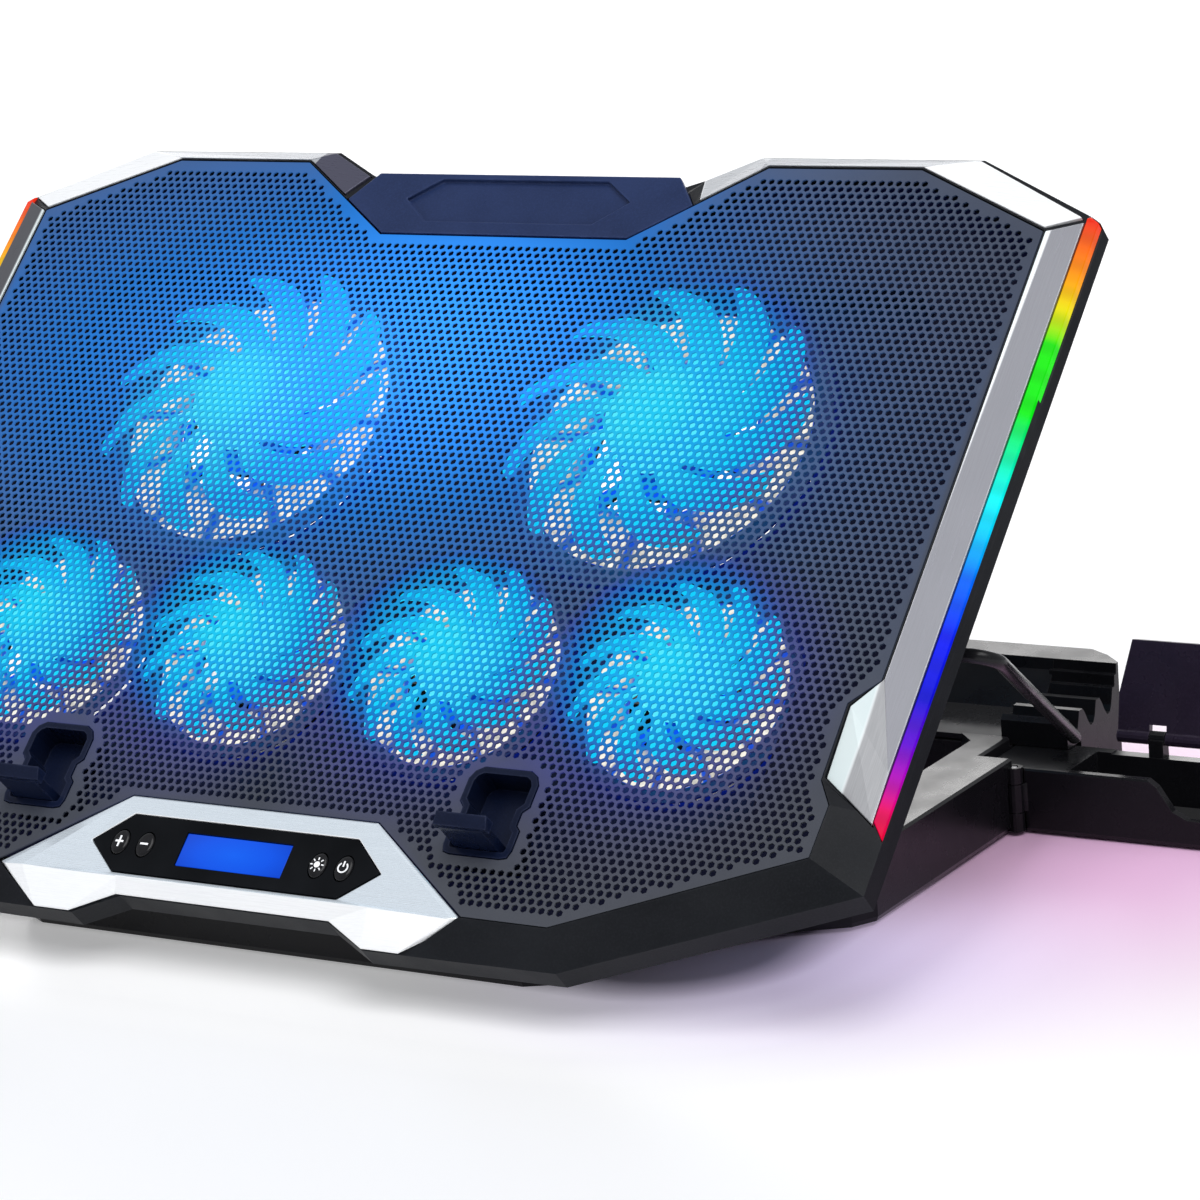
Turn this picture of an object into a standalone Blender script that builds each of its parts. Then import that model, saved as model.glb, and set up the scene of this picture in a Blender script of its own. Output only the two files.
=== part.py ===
"""Laptop cooling pad: a perforated six-fan deck on a folding base, with a wire strut, two
laptop stops, four buttons and a swing-out phone arm.

Built in metres, +Z up, +X to the user's right, the user sits at -Y. The origin is the middle
of the front rubber foot strip, on the desk. Deck parts are drawn in deck coordinates
(u across, v up the slope, w out of the deck, all in mm) and hang from an empty on the tilt
hinge, so the whole deck turns about that hinge.
"""
import math

import bmesh
import bpy
from mathutils import Matrix, Vector

for old in list(bpy.data.objects):
    bpy.data.objects.remove(old, do_unlink=True)

MM = 0.001

# ---- driving dimensions (mm, degrees) ----------------------------------------------
TILT = 42.07            # deck slope in the raised position
HINGE_Y, HINGE_Z = -2.3, 20.0   # tilt hinge over the desk
HINGE_V, HINGE_W = 18.3, -30.0  # the same hinge in deck coordinates
SIDE_U = 206.0          # half width of the deck
EDGE_W = -5.0           # height of the outer edge of the bevel
RIM_W = -13.0           # bottom of the deck's side wall
TUB_W = -25.0           # underside of the fan tub
MESH_TOP, MESH_BOTTOM = -0.1, -1.1
GAP = 0.3

STRUT_V, STRUT_W = 121.5, -35.0  # strut pivot in deck coordinates
STRUT_R = 2.25
STRUT_U = 203.6
FOOT = (175.5, 186.0, 27.25)     # strut foot over the rack, world
STOP_V, STOP_W = 24.2, -6.6      # laptop stop hinge, near the floor of its pocket
STOP_ANGLE = 90.0
BIG_FAN = dict(r=52.0, hub=17.0, top=-4.0, blade_top=-6.0, blade=-11.5)
SMALL_FAN = dict(r=35.0, hub=12.0, top=-7.5, blade_top=-9.0, blade=-13.5)
FANS = {
    "fan_rear_left": (-79.0, 180.5, BIG_FAN),
    "fan_rear_right": (79.0, 180.5, BIG_FAN),
    "fan_front_far_left": (-119.0, 90.2, SMALL_FAN),
    "fan_front_left": (-39.7, 90.2, SMALL_FAN),
    "fan_front_right": (39.7, 90.2, SMALL_FAN),
    "fan_front_far_right": (119.0, 90.2, SMALL_FAN),
}
RAIL_X, RAIL_W, RAIL_TOP, BASE_BOTTOM = 162.6, 21.2, 25.0, 1.5
ARM_Y0, ARM_Y1, ARM_TOP = 166.6, 195.0, 21.7
ARM_X1 = 282.0
ARM_PIN = (163.9, 165.2)
BACK_Y, BACK_Z = 193.4, 27.0     # phone backrest hinge
BACK_LEAN = 11.0
PANEL = [(41.4, 0.9), (53.5, 10.7), (41.4, 21.1)]
LCD = (19.3, 5.5, 16.5)


# ---- materials ----------------------------------------------------------------------
def material(name, colour, roughness, metallic=0.0, glow=0.0):
    mat = bpy.data.materials.new(name)
    mat.use_nodes = True
    shader = mat.node_tree.nodes["Principled BSDF"]
    shader.inputs["Base Color"].default_value = (*colour, 1.0)
    shader.inputs["Roughness"].default_value = roughness
    shader.inputs["Metallic"].default_value = metallic
    if glow:
        shader.inputs["Emission Color"].default_value = (*colour, 1.0)
        shader.inputs["Emission Strength"].default_value = glow
    mat.diffuse_color = (*colour, 1.0)
    return mat


BLACK = material("black_plastic", (0.025, 0.027, 0.030), 0.45)
DARK = material("dark_grey_plastic", (0.05, 0.053, 0.058), 0.5)
MESH_STEEL = material("painted_steel_mesh", (0.04, 0.042, 0.05), 0.4, 0.6)
SILVER = material("silver_trim", (0.62, 0.63, 0.65), 0.3, 0.9)
WHITE = material("pale_silver_trim", (0.80, 0.83, 0.84), 0.3, 0.4)
GLOSS = material("gloss_black", (0.01, 0.01, 0.012), 0.08)
SCREEN = material("blue_lcd", (0.02, 0.10, 0.95), 0.15, 0.0, 2.0)
KEY = material("key_black", (0.02, 0.02, 0.022), 0.15)
GLOW = material("light_diffuser", (0.9, 0.9, 0.95), 0.3, 0.0, 1.0)
BLADE = material("clear_blue_blade", (0.05, 0.65, 0.95), 0.2, 0.0, 1.0)
MOTOR = material("motor_plastic", (0.08, 0.08, 0.09), 0.4)
BOARD = material("circuit_board", (0.02, 0.16, 0.08), 0.4)
STEEL = material("steel", (0.55, 0.56, 0.58), 0.25, 1.0)
RUBBER = material("rubber", (0.015, 0.015, 0.015), 0.9)
WIRE = material("black_coated_steel", (0.02, 0.02, 0.022), 0.35, 0.3)


# ---- helpers ------------------------------------------------------------------------
def empty(name, matrix):
    obj = bpy.data.objects.new(name, None)
    bpy.context.scene.collection.objects.link(obj)
    obj.matrix_world = matrix
    return obj


def make(name, verts, faces, mat, parent=None, origin=(0, 0, 0), smooth=None):
    """One object from points in mm. origin is taken off, so it is where the object turns."""
    mesh = bpy.data.meshes.new(name)
    mesh.from_pydata([tuple((c - o) * MM for c, o in zip(v, origin)) for v in verts], [], faces)
    bm = bmesh.new()
    bm.from_mesh(mesh)
    bmesh.ops.recalc_face_normals(bm, faces=bm.faces)
    bm.to_mesh(mesh)
    bm.free()
    mesh.materials.append(mat)
    obj = bpy.data.objects.new(name, mesh)
    bpy.context.scene.collection.objects.link(obj)
    if parent:
        obj.parent = parent
    if smooth:
        mesh.shade_smooth()
        mesh.set_sharp_from_angle(angle=math.radians(smooth))
    return obj


def loft(loops, closed=False, split=False):
    """Verts and faces through loops of the same length; the ends are capped, or joined.
    split draws twisted sides as triangles, so a bar and its bed bend the same way."""
    n = len(loops[0])
    verts = [p for loop in loops for p in loop]
    faces = []
    count = len(loops)
    for k in range(count if closed else count - 1):
        a, b = k * n, ((k + 1) % count) * n
        for i in range(n):
            j = (i + 1) % n
            if split:
                faces += [(a + i, a + j, b + j), (a + i, b + j, b + i)]
            else:
                faces.append((a + i, a + j, b + j, b + i))
    if not closed:
        faces.append(tuple(range(n))[::-1])
        faces.append(tuple(range((count - 1) * n, count * n)))
    return verts, faces


def join(*shapes):
    verts, faces = [], []
    for v, f in shapes:
        base = len(verts)
        verts += list(v)
        faces += [tuple(i + base for i in face) for face in f]
    return verts, faces


def prism(outline, w0, w1):
    return loft([[(x, y, w0) for x, y in outline], [(x, y, w1) for x, y in outline]])


def box(x0, x1, y0, y1, z0, z1):
    return prism([(x0, y0), (x1, y0), (x1, y1), (x0, y1)], z0, z1)


def ring(cx, cy, r, n=24, turn=0.0):
    return [
        (cx + r * math.cos(turn + 2 * math.pi * i / n), cy + r * math.sin(turn + 2 * math.pi * i / n))
        for i in range(n)
    ]


def cylinder(cx, cy, r, w0, w1, n=24):
    return prism(ring(cx, cy, r, n), w0, w1)


def cylinder_x(x0, x1, y, z, r, n=16):
    loop = ring(y, z, r, n, math.pi / n)
    return loft([[(x0, a, b) for a, b in loop], [(x1, a, b) for a, b in loop]])


def mirror_u(points):
    """A right half from the front to the rear, and its mirror image, as one closed outline."""
    left = [(-x, y) for x, y in reversed(points) if abs(x) > 1e-6]
    return list(points) + left


def offset(loop, d):
    """Moves a counter-clockwise outline inwards by d, with mitred corners."""
    n = len(loop)
    out = []
    for i in range(n):
        p0, p1, p2 = (Vector(loop[(i + k) % n]) for k in (-1, 0, 1))
        a, b = (p1 - p0).normalized(), (p2 - p1).normalized()
        na, nb = Vector((-a.y, a.x)), Vector((-b.y, b.x))
        m = na + nb
        m = m / m.dot(m) * 2 if m.dot(m) > 1e-9 else na
        out.append(tuple(p1 + m * d))
    return out


def rounded(cx, cy, w, h, r, n=4):
    pts = []
    for sx, sy, start in ((1, -1, -90), (1, 1, 0), (-1, 1, 90), (-1, -1, 180)):
        for k in range(n + 1):
            t = math.radians(start + 90 * k / n)
            pts.append((cx + sx * (w / 2 - r) + r * math.cos(t), cy + sy * (h / 2 - r) + r * math.sin(t)))
    return pts


def cutter(name, shape, target, operation="DIFFERENCE"):
    tool = make(name, *shape, BLACK)
    tool.parent = target.parent
    tool.matrix_parent_inverse = target.matrix_parent_inverse
    tool.hide_render = True
    tool.display_type = "WIRE"
    mod = target.modifiers.new(name, "BOOLEAN")
    mod.operation = operation
    mod.object = tool
    mod.solver = "EXACT"
    return tool


def shift(shape, dx=0.0, dy=0.0, dz=0.0):
    return [(x + dx, y + dy, z + dz) for x, y, z in shape[0]], shape[1]


# ---- the deck's frame of reference -----------------------------------------------------
deck_matrix = (
    Matrix.Translation((0, HINGE_Y * MM, HINGE_Z * MM))
    @ Matrix.Rotation(math.radians(TILT), 4, "X")
)
deck_axis = empty("deck_axis", deck_matrix)
# points are given from the deck's own zero, so the child frame is moved back along the slope
deck = empty("deck_zero", deck_matrix @ Matrix.Translation((0, -HINGE_V * MM, -HINGE_W * MM)))
deck.parent = deck_axis
deck.matrix_parent_inverse = deck_axis.matrix_world.inverted()
deck_world = deck_matrix @ Matrix.Translation((0, -HINGE_V * MM, -HINGE_W * MM))


def to_deck(x, y, z):
    """World mm to deck coordinates."""
    p = deck_world.inverted() @ Vector((x * MM, y * MM, z * MM))
    return tuple(c / MM for c in p)


# ---- outlines of the deck --------------------------------------------------------------
OUTER = [(0, -4.6), (38.4, -4.6), (53.6, -12.0), (84.8, -11.8), (120, -11.4), (SIDE_U, 24.0), (SIDE_U, 49.0),
         (SIDE_U, 57.0), (SIDE_U, 81.0), (SIDE_U, 90.0), (SIDE_U, 257.5), (202.7, 259.7), (160.0, 280.8),
         (82.0, 280.9), (64.6, 271.6), (58.0, 268.8), (0, 268.8)]
INNER = [(0, 3.2), (38.4, 3.2), (53.6, 2.4), (84.8, 0.0), (114.8, 0.0), (188.5, 31.4), (188.8, 48.7),
         (183.7, 56.4), (183.3, 81.7), (191.3, 90.0), (191.3, 250.7), (190.2, 251.3), (142.9, 273.4),
         (88.6, 273.2), (66.9, 257.8), (47.3, 243.9), (0, 243.9)]
outer = mirror_u(OUTER)
inner = mirror_u(INNER)
outer_in = offset(outer, 2.6)
ledge = offset(inner, 2.0)

# ---- deck: top frame -------------------------------------------------------------------
loops = [
    [(x, y, 0.0) for x, y in inner],
    [(x, y, EDGE_W) for x, y in outer],
    [(x, y, RIM_W) for x, y in outer],
    [(x, y, RIM_W) for x, y in outer_in],
    [(x, y, -8.5) for x, y in outer_in],
    [(x, y, -7.0) for x, y in ledge],
    [(x, y, -1.4) for x, y in ledge],
    [(x, y, -1.4) for x, y in inner],
]
top_frame = make("top_frame", *loft(loops, closed=True), BLACK, deck)

BEZEL = [(0, -4.7), (39.4, -4.7), (54.0, -12.1), (67.0, -12.1), (84.6, 0.3), (45.3, 27.3), (0, 27.3)]
bezel_outline = mirror_u(BEZEL)
cutter("bezel_bed", prism(offset(bezel_outline, -0.35), -4.3, 4.0), top_frame)
TAB = [(0, 244.2), (47.2, 244.2), (66.4, 257.8), (57.9, 268.8), (0, 268.8)]
tab_outline = mirror_u(TAB)
cutter("tab_bed", prism(offset(tab_outline, -0.35), -3.3, 4.0), top_frame)


# ---- deck: trims and light bars along the sides ------------------------------------------
def bevel_w(t):
    return EDGE_W * t


def strip(stations, top, depth, grow=0.0):
    """A bar along the bevel. Each station is (inner u, v, w) and (outer u, v, w)."""
    loops = []
    for (iu, iv, iw), (ou, ov, ow) in stations:
        d = Vector((ou - iu, ov - iv))
        d = d.normalized() * grow if d.length else d
        a, b = (iu - d.x, iv - d.y), (ou + d.x, ov + d.y)
        up = top + (3.0 if grow else 0.0)
        down = depth + grow
        loops.append([(*a, iw - down), (*b, ow - down), (*b, ow + up), (*a, iw + up)])
    return loft(loops, split=True)


def ends(stations, grow):
    """The same stations with the first and last pushed out along the run."""
    s = list(stations)
    for i, j in ((0, 1), (-1, -2)):
        a, b = s[i], s[j]
        s[i] = tuple(tuple(Vector(p) + (Vector(p) - Vector(q)).normalized() * grow) for p, q in zip(a, b))
    return s


def flip(stations, side):
    return [tuple((side * p[0], p[1], p[2]) for p in st) for st in stations]


BAR_IN = 202.1           # u of the line between silver and light bar
side_trim = [((184.4, 57.6, -1.4), (202.0, 45.5, -3.6)), ((184.0, 81.2, -0.9), (BAR_IN - 0.2, 62.0, -3.1)),
             ((191.9, 90.6, -0.2), (BAR_IN - 0.2, 90.0, -3.1)), ((191.9, 250.3, -0.2), (BAR_IN - 0.2, 256.0, -3.1))]
corner_trim = [((190.9, 251.9, -0.2), (200.4, 258.1, -3.4)), ((143.2, 274.0, -0.2), (159.4, 279.6, -4.0)),
               ((88.5, 273.9, -0.2), (82.4, 279.7, -4.0)), ((68.4, 259.7, -0.2), (64.8, 270.2, -4.0))]
light_bar = [((BAR_IN + 0.2, 46.5, -3.4), (205.7, 41.8, -4.9)), ((BAR_IN + 0.2, 256.4, -3.4), (205.7, 257.2, -4.9)),
             ((202.1, 257.9, -3.6), (202.5, 259.4, -4.9))]
for side, word in ((1, "right"), (-1, "left")):
    for stations, name, mat, depth in ((side_trim, "side_trim_", SILVER, 1.6), (corner_trim, "rear_corner_trim_", WHITE, 1.6),
                                       (light_bar, "light_bar_", GLOW, 2.6)):
        make(name + word, *strip(flip(stations, side), 0.5, depth), mat, deck)
        cutter(name + word + "_bed", strip(flip(ends(stations, GAP + 0.1), side), 0.5, depth, GAP + 0.05), top_frame)
    # the row of LEDs under each light bar hangs in the frame's hollow
    make("led_strip_" + word, *box(*sorted((side * 199.4, side * 202.6)), 60.0, 240.0, -10.4, -8.95), BOARD, deck)

# ---- deck: mesh panel ------------------------------------------------------------------
MESH = [(0, 27.7), (45.5, 27.7), (85.5, 0.4), (114.7, 0.4), (188.1, 31.7), (188.4, 48.6), (183.3, 56.3), (182.9, 81.9),
        (190.9, 90.2), (190.9, 250.4), (142.8, 272.9), (88.7, 272.8), (47.3, 243.4), (0, 243.4)]
mesh_panel = make("mesh_panel", *prism(mirror_u(MESH), MESH_BOTTOM, MESH_TOP), MESH_STEEL, deck)


def pocket_outline(side, grow=0.0):
    """The rim of a stop's pocket: a foot, a waist and a wider head, with cut corners."""
    half = [(8.6, 20.0), (10.9, 20.6), (11.7, 23.0), (11.7, 29.6), (10.1, 31.2), (10.1, 35.8), (12.0, 37.8), (12.0, 45.2),
            (10.6, 47.9), (8.0, 49.5)]
    pts = [(82.0 + x, y) for x, y in half] + [(82.0 - x, y) for x, y in reversed(half)]
    pts = offset(pts, -grow) if grow else pts
    return pts if side > 0 else [(-x, y) for x, y in reversed(pts)]


for side, word in ((1, "right"), (-1, "left")):
    cutter("pocket_hole_" + word, prism(pocket_outline(side, GAP), -4.0, 3.0), mesh_panel)
    pocket = make("stop_pocket_" + word, *prism(pocket_outline(side), -10.2, 0.3), DARK, deck)
    cutter("pocket_inside_" + word, prism(pocket_outline(side, -2.0), -9.1, 3.0), pocket)
    cutter("pocket_pin_holes_" + word, cylinder_x(side * 82 - 10.9, side * 82 + 10.9, STOP_V, STOP_W, 1.25, 12), pocket)

# ---- deck: laptop stops, turned up about their pins ---------------------------------------
stop_objects = []
for side, word in ((1, "right"), (-1, "left")):
    axis = empty("stop_axis_" + word, deck_world @ Matrix.Translation((side * 82 * MM, STOP_V * MM, STOP_W * MM))
                 @ Matrix.Rotation(math.radians(STOP_ANGLE), 4, "X"))
    axis.parent = deck
    axis.matrix_parent_inverse = deck_world.inverted()
    # the flap as it lies folded, from its pin: a leg and a wider, thicker head
    leg = [(-7.5, -0.4), (7.5, -0.4), (7.5, 17.8), (-7.5, 17.8)]
    flap = make("laptop_stop_" + word, *prism(leg, -1.2, 1.9), DARK, axis)
    head = loft([[(-9.2, 16.6, 1.6), (9.2, 16.6, 1.6), (9.2, 16.6, -2.2), (-9.2, 16.6, -2.2)],
                 [(-9.2, 18.9, 1.6), (9.2, 18.9, 1.6), (8.6, 20.4, -2.2), (-8.6, 20.4, -2.2)]])
    for extra, shape in (("barrel", cylinder_x(-7.5, 7.5, 0.0, 0.0, 1.9, 14)), ("pins", cylinder_x(-9.9, 9.9, 0.0, 0.0, 0.9, 12)),
                         ("head", head)):
        cutter(f"stop_{extra}_{word}", shape, flap, "UNION")
    stop_objects.append(flap)

# ---- deck: bottom shell ----------------------------------------------------------------
floor_outline = offset(outer_in, GAP)
shell = make("bottom_shell", *prism(floor_outline, -12.8, -10.8), BLACK, deck)
TUB = [(0, 27.0), (126, 27.0), (161, 46.0), (161, 228.0), (150, 238.0), (0, 238.0)]
tub_top, tub_low = mirror_u(TUB), offset(mirror_u(TUB), 5.0)
tub_mid = offset(mirror_u(TUB), 2.4)
cutter("tub", loft([[(x, y, TUB_W) for x, y in tub_low], [(x, y, -20.0) for x, y in tub_mid],
                    [(x, y, -11.0) for x, y in tub_top]]), shell, "UNION")
in_low, in_mid, in_top = offset(tub_low, 1.6), offset(tub_mid, 2.0), offset(tub_top, 2.0)
cutter("tub_inside", loft([[(x, y, TUB_W + 2.0) for x, y in in_low], [(x, y, -19.4) for x, y in in_mid],
                           [(x, y, -9.0) for x, y in in_top]]), shell)


def sector(cx, cy, r0, r1, a0, a1, w0, w1, n=4):
    arc = [a0 + (a1 - a0) * k / n for k in range(n + 1)]
    pts = [(cx + r1 * math.cos(a), cy + r1 * math.sin(a)) for a in arc]
    pts += [(cx + r0 * math.cos(a), cy + r0 * math.sin(a)) for a in reversed(arc)]
    return prism(pts, w0, w1)


vents = []
for cx, cy, fan in FANS.values():
    rings_ = [(fan["hub"] + 2.5, fan["hub"] + 11.5), (fan["hub"] + 14.0, fan["r"] - 11.0), (fan["r"] - 8.5, fan["r"])]
    rings_ = rings_ if fan is BIG_FAN else [(fan["hub"] + 2.0, fan["hub"] + 10.5), (fan["hub"] + 13.0, fan["r"])]
    for r0, r1 in rings_:
        for k in range(6):
            mid, half = math.pi / 3 * k + 0.3, math.pi / 6
            vents.append(sector(cx, cy, r0, r1, mid - half + 1.6 / r0, mid + half - 1.6 / r0, -30.0, -20.0, 3))
cutter("intake_slots", join(*vents), shell)

# ---- deck: fans ------------------------------------------------------------------------
BLADES = 11


def rotor_outline(fan):
    """Eleven sickle blades round the hub, as one outline."""
    r, hub = fan["r"], fan["hub"] - 1.0
    pts = []
    for k in range(BLADES):
        base = 2 * math.pi * k / BLADES
        sweep = 0.72
        lead, trail = [], []
        for t in (0.0, 0.5, 1.0):
            rad = hub + (r - hub) * t
            turn = base + sweep * t ** 1.3
            half = (0.20, 0.19, 0.10)[int(t * 2)]
            trail.append((rad, turn - half))
            lead.append((rad, turn + half))
        for rad, a in trail + lead[::-1]:
            pts.append((rad * math.cos(a), rad * math.sin(a)))
    return pts


for name, (cx, cy, fan) in FANS.items():
    spin = empty(name + "_axis", deck_world @ Matrix.Translation((cx * MM, cy * MM, 0)))
    spin.parent = deck
    spin.matrix_parent_inverse = deck_world.inverted()
    rotor = make(name + "_rotor", *prism(rotor_outline(fan), fan["blade"], fan["blade_top"]), BLADE, spin)
    motor_top = fan["blade"] - 1.5
    hub_profile = [(fan["hub"], motor_top), (fan["hub"], fan["top"] + 0.0)]
    cutter(name + "_hub", cylinder(0, 0, fan["hub"], motor_top, fan["top"], 22), rotor, "UNION")
    cutter(name + "_shaft", cylinder(0, 0, 1.5, motor_top - 4.0, motor_top + 1.0, 10), rotor, "UNION")
    motor = make(name + "_motor", *cylinder(cx, cy, fan["hub"] - 2.0, -22.7, motor_top - 0.6, 22), MOTOR, deck)
    cutter(name + "_bore", cylinder(cx, cy, 2.0, motor_top - 5.2, motor_top + 3.0, 10), motor)

# ---- deck: bezel, panel, screen, keys, control board --------------------------------------
top_loop = [(0, -0.5), (38.4, -0.5), (53.8, -0.6), (69.2, -0.7), (82.4, -0.5), (44.9, 26.5), (0, 26.5)]
drop = {0: -3.3, 1: -3.3, 2: -3.3, 3: -3.3, 4: -1.2, 5: -0.2, 6: -0.2}
right_mid = [(x, y, drop[i]) for i, (x, y) in enumerate(BEZEL)]
left_mid = [(-x, y, w) for x, y, w in reversed(right_mid) if x > 0]
bezel = make("front_bezel", *loft([[(x, y, -4.0) for x, y in bezel_outline], right_mid + left_mid,
                                   [(x, y, -0.5 if abs(x) > 80 else 0.6) for x, y in mirror_u(top_loop)]]), WHITE, deck)
panel_outline = PANEL + [(-x, y) for x, y in reversed(PANEL)]
cutter("panel_hole", prism(panel_outline, -8.0, 4.0), bezel)
panel = make("control_panel", *prism(offset(panel_outline, GAP), -4.0, 0.3), GLOSS, deck)
cutter("screen_hole", box(-LCD[0] - 0.3, LCD[0] + 0.3, LCD[1] - 0.3, LCD[2] + 0.3, -8, 4), panel)
make("lcd_screen", *box(-LCD[0], LCD[0], LCD[1], LCD[2], -3.4, 0.05), SCREEN, deck)
KEYS = {"key_minus": -33.0, "key_plus": -42.4, "key_light": 31.0, "key_power": 40.3}
KEY_V, KEY_RU, KEY_RV = 10.9, 3.0, 4.2


def oval(cx, cy, ru, rv, n=24):
    return [(cx + ru * math.cos(2 * math.pi * k / n), cy + rv * math.sin(2 * math.pi * k / n)) for k in range(n)]


for name, u in KEYS.items():
    cutter(name + "_hole", prism(oval(u, KEY_V, KEY_RU + 0.35, KEY_RV + 0.35), -8, 4), panel)
    key_axis = empty(name + "_axis", deck_world @ Matrix.Translation((u * MM, KEY_V * MM, 0)))
    key_axis.parent = deck
    key_axis.matrix_parent_inverse = deck_world.inverted()
    rings_ = [(-3.8, 1.0), (0.35, 1.0), (0.75, 0.86), (0.98, 0.6)]
    make(name, *loft([[(x, y, w) for x, y in oval(0, 0, KEY_RU * k, KEY_RV * k)] for w, k in rings_]), KEY, key_axis)
make("control_board", *box(-47.0, 47.0, 5.8, 19.0, -7.4, -5.8), BOARD, deck)

# ---- deck: rear port panel -----------------------------------------------------------------
port_panel = make("rear_port_panel", *prism(tab_outline, -3.0, 0.0), DARK, deck)
HEX = [(32.0, 249.3), (43.0, 258.4), (32.0, 266.6), (-32.0, 266.6), (-43.0, 258.4), (-32.0, 249.3)]
cutter("panel_recess", prism(HEX, -1.6, 2.0), port_panel)
for i, u in enumerate((-22.0, 22.0)):
    cutter(f"usb_window_{i}", box(u - 7.1, u + 7.1, 252.0, 275.0, -10.5, -4.3), top_frame)
    socket = make("usb_socket_" + ("left", "right")[i], *box(u - 6.6, u + 6.6, 253.0, 267.6, -10.1, -4.8), STEEL, deck)
    cutter(f"usb_mouth_{i}", box(u - 6.1, u + 6.1, 256.0, 270.0, -9.6, -5.3), socket)
    cutter(f"usb_tongue_{i}", box(u - 5.2, u + 5.2, 254.5, 266.4, -8.2, -6.6), socket, "UNION")

# ---- deck: hinge knuckles and strut lugs ------------------------------------------------------
for side, word in ((1, "right"), (-1, "left")):
    x0, x1 = sorted((side * 62.0, side * 82.0))
    knuckle = make("deck_knuckle_" + word, *box(x0, x1, 13.9, 22.7, HINGE_W, RIM_W - 0.1), BLACK, deck)
    cutter("knuckle_round_" + word, cylinder_x(x0, x1, HINGE_V, HINGE_W, 4.4, 20), knuckle, "UNION")
    cutter("knuckle_bore_" + word, cylinder_x(x0 - 2, x1 + 2, HINGE_V, HINGE_W, 2.3, 16), knuckle)
    x0, x1 = sorted((side * 166.0, side * 176.0))
    lug = make("strut_lug_" + word, *box(x0, x1, STRUT_V - 6.0, STRUT_V + 6.0, STRUT_W, RIM_W - 0.1), BLACK, deck)
    cutter("lug_round_" + word, cylinder_x(x0, x1, STRUT_V, STRUT_W, 4.2, 20), lug, "UNION")
    cutter("lug_bore_" + word, cylinder_x(x0 - 2, x1 + 2, STRUT_V, STRUT_W, STRUT_R + GAP, 16), lug)


# ---- strut: one bent steel rod -------------------------------------------------------------------
def rod(points, r, bend, sides=10, steps=5):
    """A round rod through the points, with arcs of radius bend at the corners."""
    path = [Vector(points[0])]
    for a, b, c in zip(points, points[1:], points[2:]):
        a, b, c = Vector(a), Vector(b), Vector(c)
        d1, d2 = (a - b).normalized(), (c - b).normalized()
        half = d1.angle(d2) / 2
        reach = bend / math.tan(half)
        centre = b + (d1 + d2).normalized() * (bend / math.sin(half))
        p0, p1 = b + d1 * reach, b + d2 * reach
        v0, v1 = p0 - centre, p1 - centre
        axis = v0.cross(v1).normalized()
        total = v0.angle(v1)
        for k in range(steps + 1):
            path.append(centre + Matrix.Rotation(total * k / steps, 3, axis) @ v0)
    path.append(Vector(points[-1]))
    loops = []
    normal = None
    for i, p in enumerate(path):
        before = (p - path[i - 1]).normalized() if i else None
        after = (path[i + 1] - p).normalized() if i + 1 < len(path) else None
        t = ((before or after) + (after or before)).normalized()
        if normal is None:
            normal = t.cross(Vector((0, 0, 1))).normalized()
        normal = (normal - t * normal.dot(t)).normalized()
        side_ = t.cross(normal)
        stretch = 1.0
        loops.append([tuple(p + (normal * math.cos(2 * math.pi * k / sides) + side_ * math.sin(2 * math.pi * k / sides)) * r * stretch)
                      for k in range(sides)])
    return loft(loops)


foot_deck = to_deck(*FOOT)
strut_axis = empty("strut_axis", deck_world @ Matrix.Translation((0, STRUT_V * MM, STRUT_W * MM)))
strut_axis.parent = deck
strut_axis.matrix_parent_inverse = deck_world.inverted()
fu, fv, fw = foot_deck[0], foot_deck[1] - STRUT_V, foot_deck[2] - STRUT_W
strut = make("wire_strut", *rod([(-fu, fv, fw), (-STRUT_U, 0, 0), (STRUT_U, 0, 0), (fu, fv, fw)], STRUT_R, 7.0), WIRE, strut_axis, smooth=60)

# ---- base: frame -------------------------------------------------------------------------------
BASE = [(0, -14.0), (90, -14.0), (101, -8.0), (104, 4.0), (134, 46.0), (147, 57.0), (158, 64.0), (RAIL_X, 72.0),
        (RAIL_X, 166.2), (151.7, 166.2), (151.7, 198.6), (0, 198.6)]
HOLE = [(0, 14.0), (76, 14.0), (84, 22.0), (112, 62.0), (134, 76.0), (141.4, 84.0), (141.4, 180.0), (134.0, 187.6), (0, 187.6)]
base = make("base_frame", *loft([[(x, y, BASE_BOTTOM) for x, y in offset(mirror_u(BASE), 0.8)],
                                 [(x, y, BASE_BOTTOM + 1.6) for x, y in mirror_u(BASE)],
                                 [(x, y, RAIL_TOP - 0.8) for x, y in mirror_u(BASE)],
                                 [(x, y, RAIL_TOP) for x, y in offset(mirror_u(BASE), 0.8)]]), BLACK)
cutter("base_opening", prism(mirror_u(HOLE), -5, 40), base)
for side, word in ((1, "right"), (-1, "left")):
    # the deck's knuckle turns in a slot in the front bar
    x0, x1 = sorted((side * 61.4, side * 82.6))
    cutter("knuckle_slot_" + word, box(x0, x1, -20.0, 20.0, 13.6, 40), base)
    cutter("knuckle_slot_floor_" + word, cylinder_x(x0, x1, HINGE_Y, HINGE_Z, 6.2, 20), base)
    x0, x1 = sorted((side * 54.0, side * 90.0))
    cutter("pin_bore_" + word, cylinder_x(x0 - 0.4, x1 + 0.4, HINGE_Y, HINGE_Z, 2.3, 14), base)
    make("tilt_pin_" + word, *cylinder_x(x0, x1, HINGE_Y, HINGE_Z, 1.95, 14), STEEL)
for y0, y1 in ((-6.0, 6.0),):
    cutter("front_foot_bed", box(-50.4, 50.4, y0 - 0.4, y1 + 0.4, 0, 2.2), base)
    make("front_foot_strip", *prism(rounded(0, 0, 100, 12, 3.0), 0.0, 1.9), RUBBER)
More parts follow.
